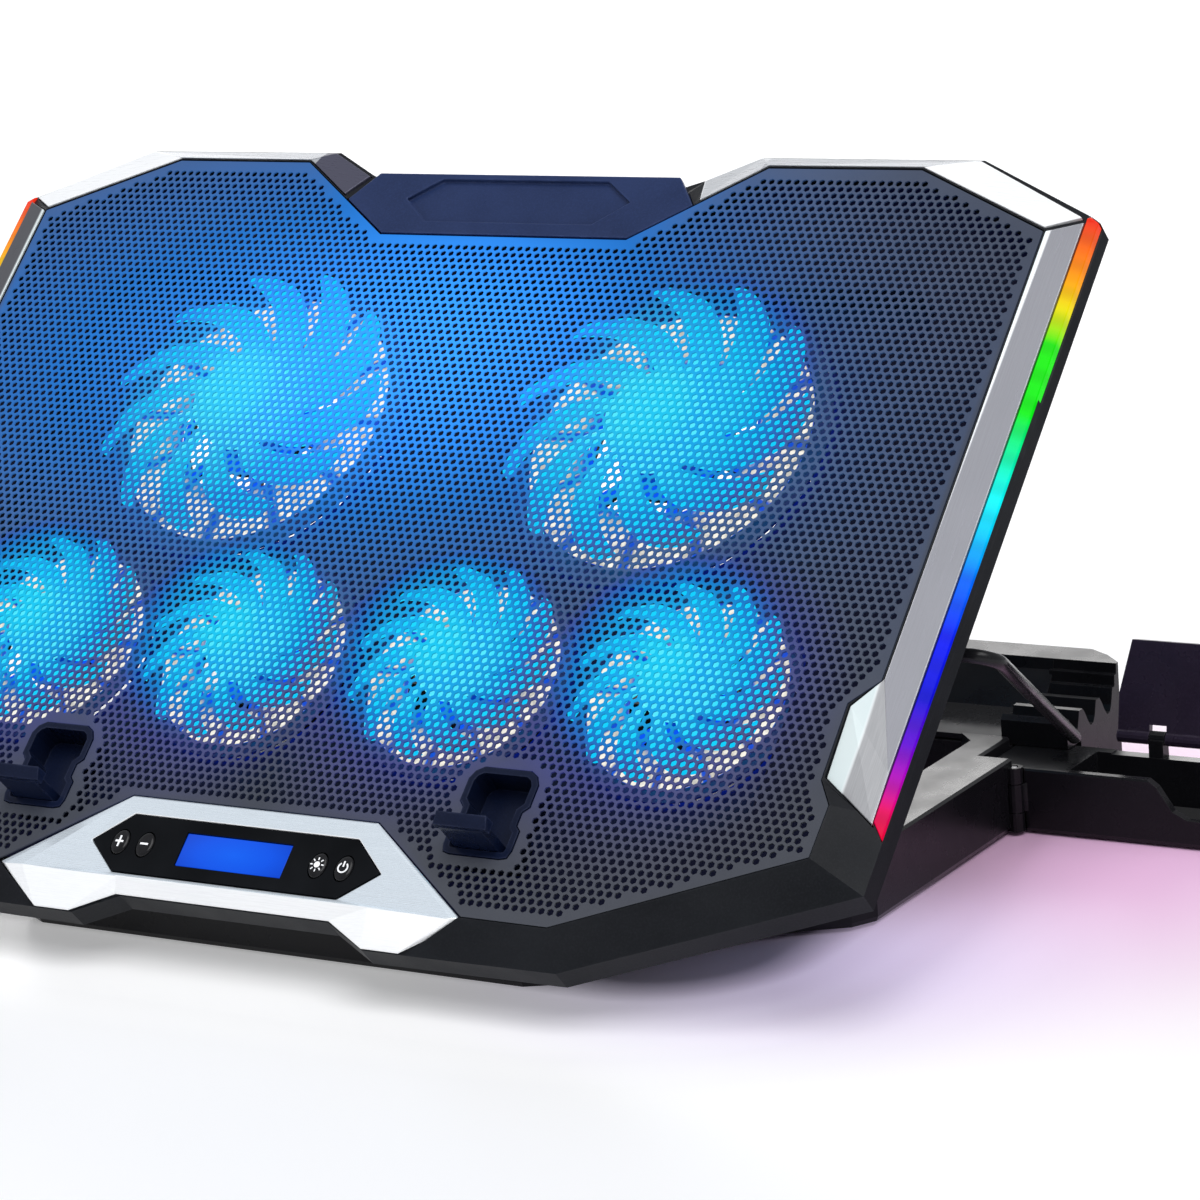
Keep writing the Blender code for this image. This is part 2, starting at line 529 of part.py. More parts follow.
for side, word in ((1, "right"), (-1, "left")):
    cutter("side_foot_bed_" + word, box(*sorted((side * 145.6, side * 158.4)), 94.6, 155.4, 0, 2.2), base)
    make("side_foot_" + word, *prism(rounded(side * 152.0, 125.0, 12, 60, 3.0), 0.0, 1.9), RUBBER)

# the rear bar is lower, and the rack's front edge rests on it
cutter("rear_bar_step", box(-170, 170, 187.2, 215.0, 21.7, 40), base)

# the two outer ears of the phone arm's hinge stand at the rail's rear corner
px, py = ARM_PIN
cutter("ear_low", join(cylinder(px, py, 2.7, BASE_BOTTOM, 7.6, 16)), base, "UNION")
cutter("ear_high", join(cylinder(px, py, 2.7, 17.4, 22.6, 16)), base, "UNION")
cutter("ear_space", cylinder(px, py, 3.1, 7.6, 17.4, 16), base)
cutter("ear_bore", cylinder(px, py, 1.35, -1, 40, 12), base)
make("arm_pin", *cylinder(px, py, 1.05, 1.8, 22.4, 12), STEEL)

# ---- base: strut rack ---------------------------------------------------------------------------
rack_low = make("strut_rack", *loft([[(-171.5 + 4, 199.0, 1.5), (171.5 - 4, 199.0, 1.5), (171.5 - 4, 244, 1.5), (-171.5 + 4, 244, 1.5)],
                                     [(-171.5, 199.0, 4.5), (171.5, 199.0, 4.5), (171.5, 248, 4.5), (-171.5, 248, 4.5)],
                                     [(-171.5, 199.0, 22.4), (171.5, 199.0, 22.4), (171.5, 248, 22.4), (-171.5, 248, 22.4)]]), DARK)
NOTCHES = (194.6, 207.4, 220.2)


def tooth_profile():
    """Side view of a toothed cheek: three notches, then the back wall with its two ledges."""
    pts = [(189.0, 22.0), (189.0, 30.0), (190.6, 31.6)]
    for y in NOTCHES:
        pts += [(y - 2.2, 26.6), (y - 0.6, 25.0), (y + 1.4, 25.4), (y + 2.6, 27.4), (y + 4.0, 32.2), (y + 6.6, 32.2), (y + 8.0, 30.6)]
    pts = pts[:-2]
    pts[-1] = (NOTCHES[-1] + 4.0, 32.6)
    pts += [(226.0, 32.8), (226.3, 36.4), (227.7, 36.6), (228.0, 40.0), (240.0, 40.6), (246.0, 38.6), (248.0, 32.0), (248.0, 22.0)]
    return pts


for side, word in ((1, "right"), (-1, "left")):
    x0, x1 = side * 148.0, side * 171.5
    loop = tooth_profile()
    cutter("cheek_" + word, loft([[(x0, y, z) for y, z in loop], [(x1, y, z) for y, z in loop]]), rack_low, "UNION")
bridge = [(189.0, 22.2), (189.0, 24.0), (202.0, 25.0), (218.0, 25.0), (227.2, 36.2), (228.0, 40.0), (240.0, 40.6), (246.0, 38.6),
          (248.0, 32.0), (248.0, 22.2)]
cutter("rack_bridge", loft([[(-149.0, y, z) for y, z in bridge], [(149.0, y, z) for y, z in bridge]]), rack_low, "UNION")
# hollow underneath, so it is a moulded cover and not a block
cutter("rack_hollow", loft([[(-143, 206, -2), (143, 206, -2), (143, 241, -2), (-143, 241, -2)],
                            [(-143, 206, 19.5), (143, 206, 19.5), (143, 241, 19.5), (-143, 241, 19.5)]]), rack_low)
for side, word in ((1, "right"), (-1, "left")):
    corner = [(173.5, 227.6), (186.0, 250.0), (146.0, 250.0), (147.6, 247.0), (157.5, 240.0), (165.0, 235.6)]
    corner = corner if side > 0 else [(-x, y) for x, y in reversed(corner)]
    cutter("rack_corner_" + word, prism(corner, -5.0, 60.0), rack_low)
    cutter("rear_foot_bed_" + word, box(*sorted((side * 146.6, side * 162.4)), 210.6, 230.4, 0, 2.2), rack_low)
    make("rear_foot_" + word, *prism(rounded(side * 154.5, 220.5, 15, 19, 3.0), 0.0, 1.9), RUBBER)

# ---- phone arm ------------------------------------------------------------------------------------
arm_axis = empty("arm_axis", Matrix.Translation((px * MM, py * MM, 0)))
AX0 = 152.4
arm_outline = [(AX0, ARM_Y0), (ARM_X1 - 3, ARM_Y0), (ARM_X1, ARM_Y0 + 3), (ARM_X1, ARM_Y1 - 3), (ARM_X1 - 3, ARM_Y1), (AX0, ARM_Y1)]


def local(shape, ax, ay, az=0.0):
    return shift(shape, -ax, -ay, -az)


arm = make("phone_arm", *local(loft([[(x, y, 0.9) for x, y in offset(arm_outline, 0.6)], [(x, y, 2.2) for x, y in arm_outline],
                                     [(x, y, ARM_TOP - 0.6) for x, y in arm_outline],
                                     [(x, y, ARM_TOP) for x, y in offset(arm_outline, 0.6)]]), px, py), BLACK, arm_axis)
cutter("arm_barrel", local(cylinder(px, py, 2.7, 7.9, 17.1, 16), px, py), arm, "UNION")
cutter("arm_barrel_web", local(prism([(px - 1.5, py + 0.5), (px + 2.6, py), (px + 4.5, py + 3.0), (px - 1.5, py + 3.0)], 7.9, 17.1), px, py), arm, "UNION")
cutter("arm_ear_space", local(join(cylinder(px, py, 3.05, -2, 7.9, 16), cylinder(px, py, 3.05, 17.1, 40, 16)), px, py), arm)
cutter("arm_bore", local(cylinder(px, py, 1.35, -2, 40, 12), px, py), arm)
# tray for the phone's edge, and the front wall that dips where the phone's screen shows
cutter("arm_tray", local(box(181.0, ARM_X1 - 3.0, ARM_Y0 + 3.0, ARM_Y1 - 4.6, 5.0, 40), px, py), arm)
dip = [(209.0, 40), (209.0, 21.7), (212.0, 19.5), (217.0, 12.0), (222.0, 9.6), (262.0, 9.6), (267.0, 12.0), (272.0, 19.5), (275.0, 21.7), (275.0, 40)]
cutter("arm_dip", local(loft([[(x, ARM_Y0 - 3, z) for x, z in dip], [(x, ARM_Y1 - 6.0, z) for x, z in dip]]), px, py), arm)
cutter("backrest_seat", local(box(186.0, 249.0, ARM_Y1 - 6.6, ARM_Y1 + 2, 21.2, 40), px, py), arm)
for i, (x0, x1) in enumerate(((199.0, 204.0), (231.0, 236.0))):
    cutter(f"backrest_ear_{i}", local(box(x0, x1, BACK_Y - 2.9, ARM_Y1 - 0.1, 16.0, BACK_Z), px, py), arm, "UNION")
    cutter(f"backrest_ear_round_{i}", local(cylinder_x(x0, x1, BACK_Y, BACK_Z, 2.3, 14), px, py), arm, "UNION")
    cutter(f"backrest_ear_bore_{i}", local(cylinder_x(x0 - 1, x1 + 1, BACK_Y, BACK_Z, 1.2, 10), px, py), arm)
make("tray_pad", *local(box(184.0, 276.0, ARM_Y0 + 4.0, ARM_Y1 - 7.6, 5.3, 7.0), px, py), RUBBER, arm_axis)
make("arm_foot", *local(prism(rounded(268.0, (ARM_Y0 + ARM_Y1) / 2, 18, 14, 3), 0.0, 0.7), px, py), RUBBER, arm_axis)
make("backrest_pin", *local(cylinder_x(189.4, 245.6, BACK_Y, BACK_Z, 0.9, 10), px, py), STEEL, arm_axis)

# ---- phone backrest, leaning back about its pin -------------------------------------------------------
back_axis = empty("backrest_axis", Matrix.Translation((0, BACK_Y * MM, BACK_Z * MM)) @ Matrix.Rotation(math.radians(-BACK_LEAN), 4, "X"))
back_axis.parent = arm_axis
back_axis.matrix_parent_inverse = arm_axis.matrix_world.inverted()
back_axis.matrix_parent_inverse = Matrix.Translation((-px * MM, -py * MM, 0))
plate = [(187.7, -1.6), (247.3, -1.6), (247.3, 13.7), (243.4, 31.0), (191.6, 31.0), (187.7, 13.7)]
back = make("phone_backrest", *loft([[(x, -1.2, z) for x, z in plate], [(x, 1.2, z) for x, z in plate]]), DARK, back_axis)
cutter("backrest_barrel", cylinder_x(187.7, 247.3, 0, 0, 2.3, 14), back, "UNION")
for i, (x0, x1) in enumerate(((199.0, 204.0), (231.0, 236.0))):
    cutter(f"backrest_notch_{i}", box(x0 - 0.4, x1 + 0.4, -4, 4, -4, 4.2), back)
cutter("backrest_bore", cylinder_x(180, 256, 0, 0, 1.2, 10), back)
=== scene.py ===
import math

import bmesh
import bpy
import numpy as np
from mathutils import Matrix, Vector
from mathutils.geometry import delaunay_2d_cdt


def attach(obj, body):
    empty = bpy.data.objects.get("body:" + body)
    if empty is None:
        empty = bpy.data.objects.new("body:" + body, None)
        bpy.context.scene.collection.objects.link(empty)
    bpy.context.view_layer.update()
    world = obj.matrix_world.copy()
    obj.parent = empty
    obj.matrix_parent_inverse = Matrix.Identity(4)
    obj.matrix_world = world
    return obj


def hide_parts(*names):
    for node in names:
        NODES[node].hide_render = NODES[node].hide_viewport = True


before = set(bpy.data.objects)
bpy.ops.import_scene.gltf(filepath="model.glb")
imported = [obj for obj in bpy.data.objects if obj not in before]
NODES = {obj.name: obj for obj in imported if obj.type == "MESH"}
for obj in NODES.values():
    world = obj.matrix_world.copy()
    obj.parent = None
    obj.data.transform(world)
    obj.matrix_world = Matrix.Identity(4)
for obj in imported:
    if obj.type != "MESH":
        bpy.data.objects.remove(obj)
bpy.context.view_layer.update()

for leftover in ("Cube", "Light", "Camera"):
    if leftover in bpy.data.objects:
        bpy.data.objects.remove(bpy.data.objects[leftover], do_unlink=True)

MM = 0.001
TILT = math.radians(42.07)
# deck coordinates (u across, v up the slope, w out of the deck, mm) to the world, in metres
DECK = (Matrix.Translation((0, -2.3 * MM, 20 * MM)) @ Matrix.Rotation(TILT, 4, "X")
        @ Matrix.Translation((0, -18.3 * MM, 30 * MM)))
DECK_INV = DECK.inverted()
FANS = {
    "fan_rear_left": (-79.0, 180.5, 52.0), "fan_rear_right": (79.0, 180.5, 52.0),
    "fan_front_far_left": (-119.0, 90.2, 35.0), "fan_front_left": (-39.7, 90.2, 35.0),
    "fan_front_right": (39.7, 90.2, 35.0), "fan_front_far_right": (119.0, 90.2, 35.0),
}


# ======================================================================================
# materials
# ======================================================================================
class Mat:
    """A small builder round one node tree."""

    def __init__(self, name):
        self.m = bpy.data.materials.new(name)
        self.m.use_nodes = True
        self.nt = self.m.node_tree
        self.bsdf = self.nt.nodes["Principled BSDF"]
        self.coord = self.nt.nodes.new("ShaderNodeTexCoord").outputs["Object"]
        self._deck = None

    def new(self, kind, **props):
        n = self.nt.nodes.new(kind)
        for k, v in props.items():
            setattr(n, k, v)
        return n

    def link(self, a, b):
        self.nt.links.new(a, b)
        return b

    def put(self, value, socket):
        if hasattr(value, "is_output"):
            self.nt.links.new(value, socket)
        else:
            socket.default_value = value

    def math(self, op, a, b=None, c=None, clamp=False):
        n = self.new("ShaderNodeMath", operation=op, use_clamp=clamp)
        self.put(a, n.inputs[0])
        if b is not None:
            self.put(b, n.inputs[1])
        if c is not None:
            self.put(c, n.inputs[2])
        return n.outputs[0]

    def vec(self, op, a, b=None, out=0):
        n = self.new("ShaderNodeVectorMath", operation=op)
        self.put(a, n.inputs[0])
        if b is not None:
            self.put(b, n.inputs[1])
        return n.outputs["Value"] if op in ("DISTANCE", "LENGTH", "DOT_PRODUCT") else n.outputs[0]

    def deck(self):
        """Position in deck coordinates, mm."""
        if self._deck is None:
            n = self.new("ShaderNodeMapping", vector_type="POINT")
            inv = DECK_INV
            self.link(self.coord, n.inputs["Vector"])
            n.inputs["Rotation"].default_value = (-TILT, 0, 0)
            n.inputs["Location"].default_value = tuple(c * 1000 for c in inv.to_translation())
            n.inputs["Scale"].default_value = (1000, 1000, 1000)
            self._deck = n.outputs[0]
        return self._deck

    def noise(self, scale, detail=3.0, rough=0.55, vector=None, stretch=None):
        v = vector if vector is not None else self.coord
        if stretch:
            v = self.vec("MULTIPLY", v, stretch)
        n = self.new("ShaderNodeTexNoise")
        self.link(v, n.inputs["Vector"])
        n.inputs["Scale"].default_value = scale
        n.inputs["Detail"].default_value = detail
        n.inputs["Roughness"].default_value = rough
        return n.outputs["Fac"]

    def ramp(self, fac, stops, interp="LINEAR"):
        n = self.new("ShaderNodeValToRGB")
        n.color_ramp.interpolation = interp
        e = n.color_ramp.elements
        while len(e) > 1:
            e.remove(e[-1])
        e[0].position, e[0].color = stops[0][0], (*stops[0][1], 1)
        for pos, col in stops[1:]:
            x = e.new(pos)
            x.color = (*col, 1)
        self.link(fac, n.inputs[0])
        return n.outputs[0]

    def mix(self, fac, a, b, mode="MIX"):
        n = self.new("ShaderNodeMix", data_type="RGBA", blend_type=mode)
        self.put(fac, n.inputs[0])
        self.put(a if hasattr(a, "is_output") else (*a, 1), n.inputs[6])
        self.put(b if hasattr(b, "is_output") else (*b, 1), n.inputs[7])
        return n.outputs[2]

    def span(self, value, a, b, lo=0.0, hi=1.0, smooth=False):
        n = self.new("ShaderNodeMapRange", interpolation_type="SMOOTHSTEP" if smooth else "LINEAR")
        self.put(value, n.inputs[0])
        for i, x in zip((1, 2, 3, 4), (a, b, lo, hi)):
            n.inputs[i].default_value = x
        return n.outputs[0]

    def bump(self, height, strength, distance):
        n = self.new("ShaderNodeBump")
        n.inputs["Strength"].default_value = strength
        n.inputs["Distance"].default_value = distance
        self.link(height, n.inputs["Height"])
        self.link(n.outputs[0], self.bsdf.inputs["Normal"])

    def edges(self, radius=0.0009):
        """Brighter where a corner is, from the difference between the rounded and the true normal."""
        b = self.new("ShaderNodeBevel", samples=4)
        b.inputs["Radius"].default_value = radius
        g = self.new("ShaderNodeNewGeometry")
        d = self.vec("DOT_PRODUCT", b.outputs[0], g.outputs["Normal"])
        return self.span(d, 0.985, 0.86)

    def painted_fan_light_mask(self, lo=1.35, hi=0.30, smooth=True):
        """Mask for painted fan light: 0 far from every fan, 1 near a hub; distances are in fan radii."""
        flat = self.vec("MULTIPLY", self.deck(), (1, 1, 0))
        best = None
        for u, v, r in FANS.values():
            d = self.vec("DISTANCE", flat, (u, v, 0))
            f = self.span(d, lo * r, hi * r, smooth=smooth)
            best = f if best is None else self.math("MAXIMUM", best, f)
        return best

    def set(self, **inputs):
        for k, v in inputs.items():
            self.put(v, self.bsdf.inputs[k.replace("_", " ")])


def plastic(name, colour, rough, grain=1500.0, grain_strength=0.22, wear=0.5, vary=0.35, spec=0.5, metallic=0.0, coat=0.0,
            walls=None, axis=(0.0, 0.0, 1.0)):
    """Moulded plastic: a fine spark-eroded grain, slow colour and gloss drift, rubbed edges."""
    k = Mat(name)
    slow = k.noise(28, 3)
    fine = k.noise(grain, 2, 0.6)
    dark = tuple(c * (1 - vary * 0.5) for c in colour)
    lite = tuple(min(1, c * (1 + vary * 0.6) + 0.0015) for c in colour)
    col = k.ramp(slow, [(0.3, dark), (0.7, lite)])
    col = k.mix(k.span(fine, 0.45, 0.8, 0, 0.35), col, tuple(min(1, c * 1.8 + 0.004) for c in colour))
    if wear:
        edge = k.math("MULTIPLY", k.edges(), k.span(k.noise(160, 2), 0.42, 0.62, 0.25, 1.0))
        col = k.mix(k.math("MULTIPLY", edge, wear), col, tuple(min(1, c * 2.6 + 0.03) for c in colour))
    k.link(col, k.bsdf.inputs["Base Color"])
    k.link(k.span(k.noise(55, 4), 0.3, 0.7, rough - 0.07, rough + 0.08), k.bsdf.inputs["Roughness"])
    k.bsdf.inputs["Metallic"].default_value = metallic
    k.bsdf.inputs["Specular IOR Level"].default_value = spec
    if walls is not None:
        # faces turned along the axis keep the gloss; the others have a duller mould finish
        g = k.new("ShaderNodeNewGeometry")
        along = k.math("ABSOLUTE", k.vec("DOT_PRODUCT", g.outputs["True Normal"], axis))
        k.link(k.span(along, 0.45, 0.85, walls[0], walls[1]), k.bsdf.inputs["Specular IOR Level"])
    if coat:
        k.bsdf.inputs["Coat Weight"].default_value = coat
        k.bsdf.inputs["Coat Roughness"].default_value = 0.12
    k.bump(fine, grain_strength, 0.00012)
    return k


M = {}
M["black_plastic"] = plastic("looks_black_plastic", (0.0085, 0.0095, 0.012), 0.42, wear=0.16,
                             walls=(0.10, 0.02), axis=(1.0, 0.0, 0.0))
M["base_plastic"] = plastic("looks_base_plastic", (0.006, 0.006, 0.0075), 0.27, grain_strength=0.10, wear=0.3, walls=(0.14, 0.65))
M["dark_grey_plastic"] = plastic("looks_dark_grey_plastic", (0.014, 0.016, 0.021), 0.33, spec=0.3)
M["tab_plastic"] = plastic("looks_tab_plastic", (0.014, 0.027, 0.085), 0.34, spec=0.18)
M["stop_plastic"] = plastic("looks_stop_plastic", (0.003, 0.0065, 0.024), 0.30, spec=0.16)
M["motor_plastic"] = plastic("looks_motor_plastic", (0.05, 0.055, 0.07), 0.4)
M["backrest_plastic"] = plastic("looks_backrest_plastic", (0.020, 0.014, 0.028), 0.28, spec=0.4, grain_strength=0.1)


def rubber():
    k = plastic("looks_rubber", (0.012, 0.012, 0.013), 0.82, grain=700, grain_strength=0.5, wear=0.25, spec=0.3)
    return k


M["rubber"] = rubber()


def brushed(name, low, high, rough, metallic, along):
    """Satin metal film: long fine brushing along one direction, over a slow drift."""
    k = Mat(name)
    lines = k.noise(1.0, 4, 0.6, vector=k.deck(), stretch=along)
    slow = k.noise(18, 2)
    col = k.ramp(lines, [(0.25, low), (0.75, high)])
    col = k.mix(k.span(slow, 0.3, 0.7, 0, 0.25), col, tuple(c * 0.8 for c in low))
    # corners painted lighter: a painted edge highlight
    edge = k.edges(0.0006)
    col = k.mix(k.math("MULTIPLY", edge, 0.35), col, (0.9, 0.92, 0.94))
    k.link(col, k.bsdf.inputs["Base Color"])
    k.link(k.span(lines, 0.3, 0.7, rough - 0.05, rough + 0.08), k.bsdf.inputs["Roughness"])
    k.bsdf.inputs["Metallic"].default_value = metallic
    k.bump(lines, 0.12, 0.00006)
    return k


# side strips: grey silver above, a pale facet below
def side_silver():
    k = Mat("looks_side_silver")
    lines = k.noise(1.0, 4, 0.6, vector=k.deck(), stretch=(2.6, 0.05, 1.0))
    slow = k.noise(14, 2)
    silver = k.ramp(lines, [(0.25, (0.116, 0.118, 0.133)), (0.75, (0.162, 0.165, 0.182))])
    silver = k.mix(k.span(slow, 0.3, 0.7, 0, 0.3), silver, (0.095, 0.097, 0.110))
    pale = k.ramp(slow, [(0.3, (0.66, 0.76, 0.77)), (0.7, (0.78, 0.86, 0.86))])
    sep = k.new("ShaderNodeSeparateXYZ")
    k.link(k.deck(), sep.inputs[0])
    u = k.math("ABSOLUTE", sep.outputs[0])
    # the facet line runs up the slope, nearly parallel to the light bar, to the inner knee
    line = k.math("SUBTRACT", u, k.math("MULTIPLY_ADD", k.math("SUBTRACT", sep.outputs[1], 89.4), 0.0135, 190.8))
    # the lower facets lie flatter than the strip; facing further up, they are painted a lighter grey with less metal, a
    # painted highlight
    g = k.new("ShaderNodeNewGeometry")
    flat = k.span(k.vec("DOT_PRODUCT", g.outputs["True Normal"], tuple(DECK.to_3x3() @ Vector((0, 0, 1)))), 0.970, 0.980)
    flat = k.math("MULTIPLY", flat, k.math("LESS_THAN", sep.outputs[1], 91.0))
    low = k.ramp(lines, [(0.25, (0.36, 0.365, 0.38)), (0.75, (0.46, 0.465, 0.48))])
    silver = k.mix(flat, silver, low)
    col = k.mix(k.span(line, -0.3, 0.3), pale, silver)
    # painted highlight: a pale line along the facet line
    crease_highlight = k.math("SUBTRACT", 1.0, k.span(k.math("ABSOLUTE", line), 0.15, 0.75))
    col = k.mix(k.math("MULTIPLY", crease_highlight, 0.45), col, (0.9, 0.94, 0.95))
    # corners painted lighter: a painted edge highlight
    col = k.mix(k.math("MULTIPLY", k.edges(0.0006), 0.4), col, (0.88, 0.9, 0.92))
    k.link(col, k.bsdf.inputs["Base Color"])
    k.link(k.span(lines, 0.3, 0.7, 0.27, 0.40), k.bsdf.inputs["Roughness"])
    k.link(k.math("MULTIPLY_ADD", flat, -0.62, k.span(line, -0.3, 0.3, 0.1, 0.75), clamp=True), k.bsdf.inputs["Metallic"])
    k.bump(lines, 0.12, 0.00006)
    return k


M["side_silver"] = side_silver()


def corner_white():
    k = Mat("looks_corner_white")
    slow = k.noise(16, 2)
    white = k.ramp(slow, [(0.3, (0.84, 0.86, 0.88)), (0.7, (0.93, 0.94, 0.95))])
    lines = k.noise(1.0, 4, 0.6, vector=k.deck(), stretch=(0.05, 2.6, 1.0))
    silver = k.ramp(lines, [(0.25, (0.48, 0.50, 0.53)), (0.75, (0.62, 0.64, 0.67))])
    sep = k.new("ShaderNodeSeparateXYZ")
    k.link(k.deck(), sep.inputs[0])
    u = k.math("ABSOLUTE", sep.outputs[0])
    line = k.math("SUBTRACT", u, k.math("MULTIPLY_ADD", k.math("SUBTRACT", sep.outputs[1], 274.0), 2.6, 143.4))
    on = k.span(line, -0.3, 0.3)
    # the last short run beside the tab is white again
    off = k.math("LESS_THAN", u, 86.0)
    on = k.math("MAXIMUM", on, k.math("MULTIPLY", off, 0.35))
    col = k.mix(on, silver, white)
    # painted shade: on the left side the short run beside the tab is darkened to a dark blue-grey
    painted_shade = k.math("MULTIPLY", off, k.math("LESS_THAN", sep.outputs[0], 0.0))
    col = k.mix(painted_shade, col, (0.075, 0.075, 0.115))
    k.link(col, k.bsdf.inputs["Base Color"])
    k.link(k.span(lines, 0.3, 0.7, 0.24, 0.36), k.bsdf.inputs["Roughness"])
    k.link(k.math("MULTIPLY", k.math("SUBTRACT", 1.0, on), 0.65), k.bsdf.inputs["Metallic"])
    k.bump(lines, 0.1, 0.00005)
    return k


M["corner_white"] = corner_white()


def bezel_silver():
    k = Mat("looks_bezel")
    slow = k.noise(20, 2)
    lines = k.noise(1.0, 3, 0.6, vector=k.deck(), stretch=(0.10, 5.0, 1.0))
    top = k.ramp(lines, [(0.2, (0.74, 0.82, 0.89)), (0.8, (0.80, 0.88, 0.95))])
    front = k.ramp(slow, [(0.3, (0.88, 0.90, 0.92)), (0.7, (0.95, 0.96, 0.97))])
    g = k.new("ShaderNodeNewGeometry")
    up = k.vec("DOT_PRODUCT", g.outputs["True Normal"], tuple(DECK.to_3x3() @ Vector((0, 0, 1))))
    # only the front facets face down the slope
    down = k.vec("DOT_PRODUCT", g.outputs["True Normal"], tuple(DECK.to_3x3() @ Vector((0, -1, 0))))
    # painted light: the front facets are painted white and non-metallic, the top pale silver, by which way each face
    # points
    painted_light_facet = k.span(down, 0.12, 0.25)
    k.link(k.mix(painted_light_facet, top, front), k.bsdf.inputs["Base Color"])
    k.link(k.span(lines, 0.3, 0.7, 0.22, 0.34), k.bsdf.inputs["Roughness"])
    k.link(k.math("MULTIPLY", k.math("SUBTRACT", 1.0, painted_light_facet), 0.45), k.bsdf.inputs["Metallic"])
    k.bump(lines, 0.04, 0.00004)
    return k


M["bezel_silver"] = bezel_silver()


def gloss():
    k = Mat("looks_gloss_black")
    slow = k.noise(30, 3)
    k.link(k.ramp(slow, [(0.3, (0.0035, 0.004, 0.005)), (0.7, (0.008, 0.009, 0.011))]), k.bsdf.inputs["Base Color"])
    k.link(k.span(k.noise(90, 4), 0.35, 0.7, 0.05, 0.14), k.bsdf.inputs["Roughness"])
    k.bsdf.inputs["Specular IOR Level"].default_value = 0.05
    k.bump(k.noise(300, 2), 0.02, 0.0001)
    return k


M["gloss_black"] = gloss()


def lcd():
    """Backlit blue screen: brighter towards the middle, with a fine cell grid."""
    k = Mat("looks_lcd")
    sep = k.new("ShaderNodeSeparateXYZ")
    k.link(k.deck(), sep.inputs[0])
    u, v = sep.outputs[0], sep.outputs[1]
    far = k.vec("LENGTH", k.vec("MULTIPLY", k.vec("SUBTRACT", k.deck(), (0, 11, 0)), (0.045, 0.11, 0)))
    col = k.ramp(far, [(0.0, (0.003, 0.115, 0.86)), (0.6, (0.002, 0.085, 0.78)), (1.0, (0.001, 0.055, 0.60))])
    grid = k.math("MAXIMUM", k.math("GREATER_THAN", k.math("FRACT", k.math("MULTIPLY", u, 2.5)), 0.88),
                  k.math("GREATER_THAN", k.math("FRACT", k.math("MULTIPLY", v, 2.5)), 0.88))
    col = k.mix(k.math("MULTIPLY", grid, 0.16), col, (0.0, 0.02, 0.35))
    k.link(col, k.bsdf.inputs["Emission Color"])
    k.bsdf.inputs["Emission Strength"].default_value = 1.0
    k.bsdf.inputs["Specular IOR Level"].default_value = 0.2
    k.bsdf.inputs["Base Color"].default_value = (0.0, 0.01, 0.06, 1)
    k.link(k.span(k.noise(60, 3), 0.3, 0.7, 0.08, 0.16), k.bsdf.inputs["Roughness"])
    return k


M["blue_lcd"] = lcd()


def key_cap():
    k = Mat("looks_key")
    slow = k.noise(400, 2)
    k.link(k.ramp(slow, [(0.3, (0.006, 0.006, 0.007)), (0.7, (0.012, 0.012, 0.014))]), k.bsdf.inputs["Base Color"])
    k.link(k.span(k.noise(500, 3), 0.3, 0.7, 0.14, 0.24), k.bsdf.inputs["Roughness"])
    k.bsdf.inputs["Specular IOR Level"].default_value = 0.22
    return k


M["key_black"] = key_cap()


def icon():
    k = Mat("looks_icon")
    k.link(k.ramp(k.noise(900, 2), [(0.3, (0.62, 0.64, 0.66)), (0.7, (0.82, 0.83, 0.85))]), k.bsdf.inputs["Base Color"])
    # painted glow: the printed icons also emit light
    k.link(k.ramp(k.noise(900, 2), [(0.3, (0.7, 0.72, 0.74)), (0.7, (0.8, 0.81, 0.83))]), k.bsdf.inputs["Emission Color"])
    k.bsdf.inputs["Emission Strength"].default_value = 0.35
    k.bsdf.inputs["Roughness"].default_value = 0.4
    return k


M["icon"] = icon()

RAINBOW = [(0.0, (0.72, 0.0, 0.03)), (0.04, (0.78, 0.0, 0.12)), (0.085, (0.45, 0.0, 0.45)), (0.14, (0.12, 0.0, 0.62)),
           (0.21, (0.004, 0.003, 0.64)), (0.31, (0.002, 0.012, 0.88)), (0.40, (0.0, 0.14, 0.95)), (0.47, (0.0, 0.55, 0.95)),
           (0.53, (0.002, 0.90, 0.92)), (0.60, (0.0, 0.85, 0.35)), (0.67, (0.002, 0.82, 0.008)), (0.79, (0.012, 0.80, 0.002)),
           (0.85, (0.80, 0.70, 0.0)), (0.90, (0.95, 0.33, 0.0)), (0.95, (0.90, 0.15, 0.005)), (1.0, (0.80, 0.03, 0.01))]


def rainbow():
    """The light bar: one diffuser with the colours running along it, and LED hot spots behind."""
    k = Mat("looks_light_bar")
    sep = k.new("ShaderNodeSeparateXYZ")
    k.link(k.deck(), sep.inputs[0])
    t = k.span(sep.outputs[1], 42.0, 257.0)
    col = k.ramp(t, RAINBOW)
    hot = k.math("MULTIPLY_ADD", k.math("SINE", k.math("MULTIPLY", sep.outputs[1], 0.62)), 0.10, 0.95)
    col = k.mix(1.0, col, k.ramp(k.math("MULTIPLY", hot, 1.0), [(0.0, (0, 0, 0)), (1.0, (1, 1, 1))]), "MULTIPLY")
    k.link(col, k.bsdf.inputs["Emission Color"])
    k.bsdf.inputs["Emission Strength"].default_value = 1.0
    k.bsdf.inputs["Specular IOR Level"].default_value = 0.05
    k.link(k.mix(0.9, col, (0.0, 0.0, 0.0)), k.bsdf.inputs["Base Color"])
    k.link(k.span(k.noise(200, 3), 0.3, 0.7, 0.22, 0.32), k.bsdf.inputs["Roughness"])
    k.bump(k.noise(900, 2), 0.05, 0.0001)
    return k


M["light_diffuser"] = rainbow()


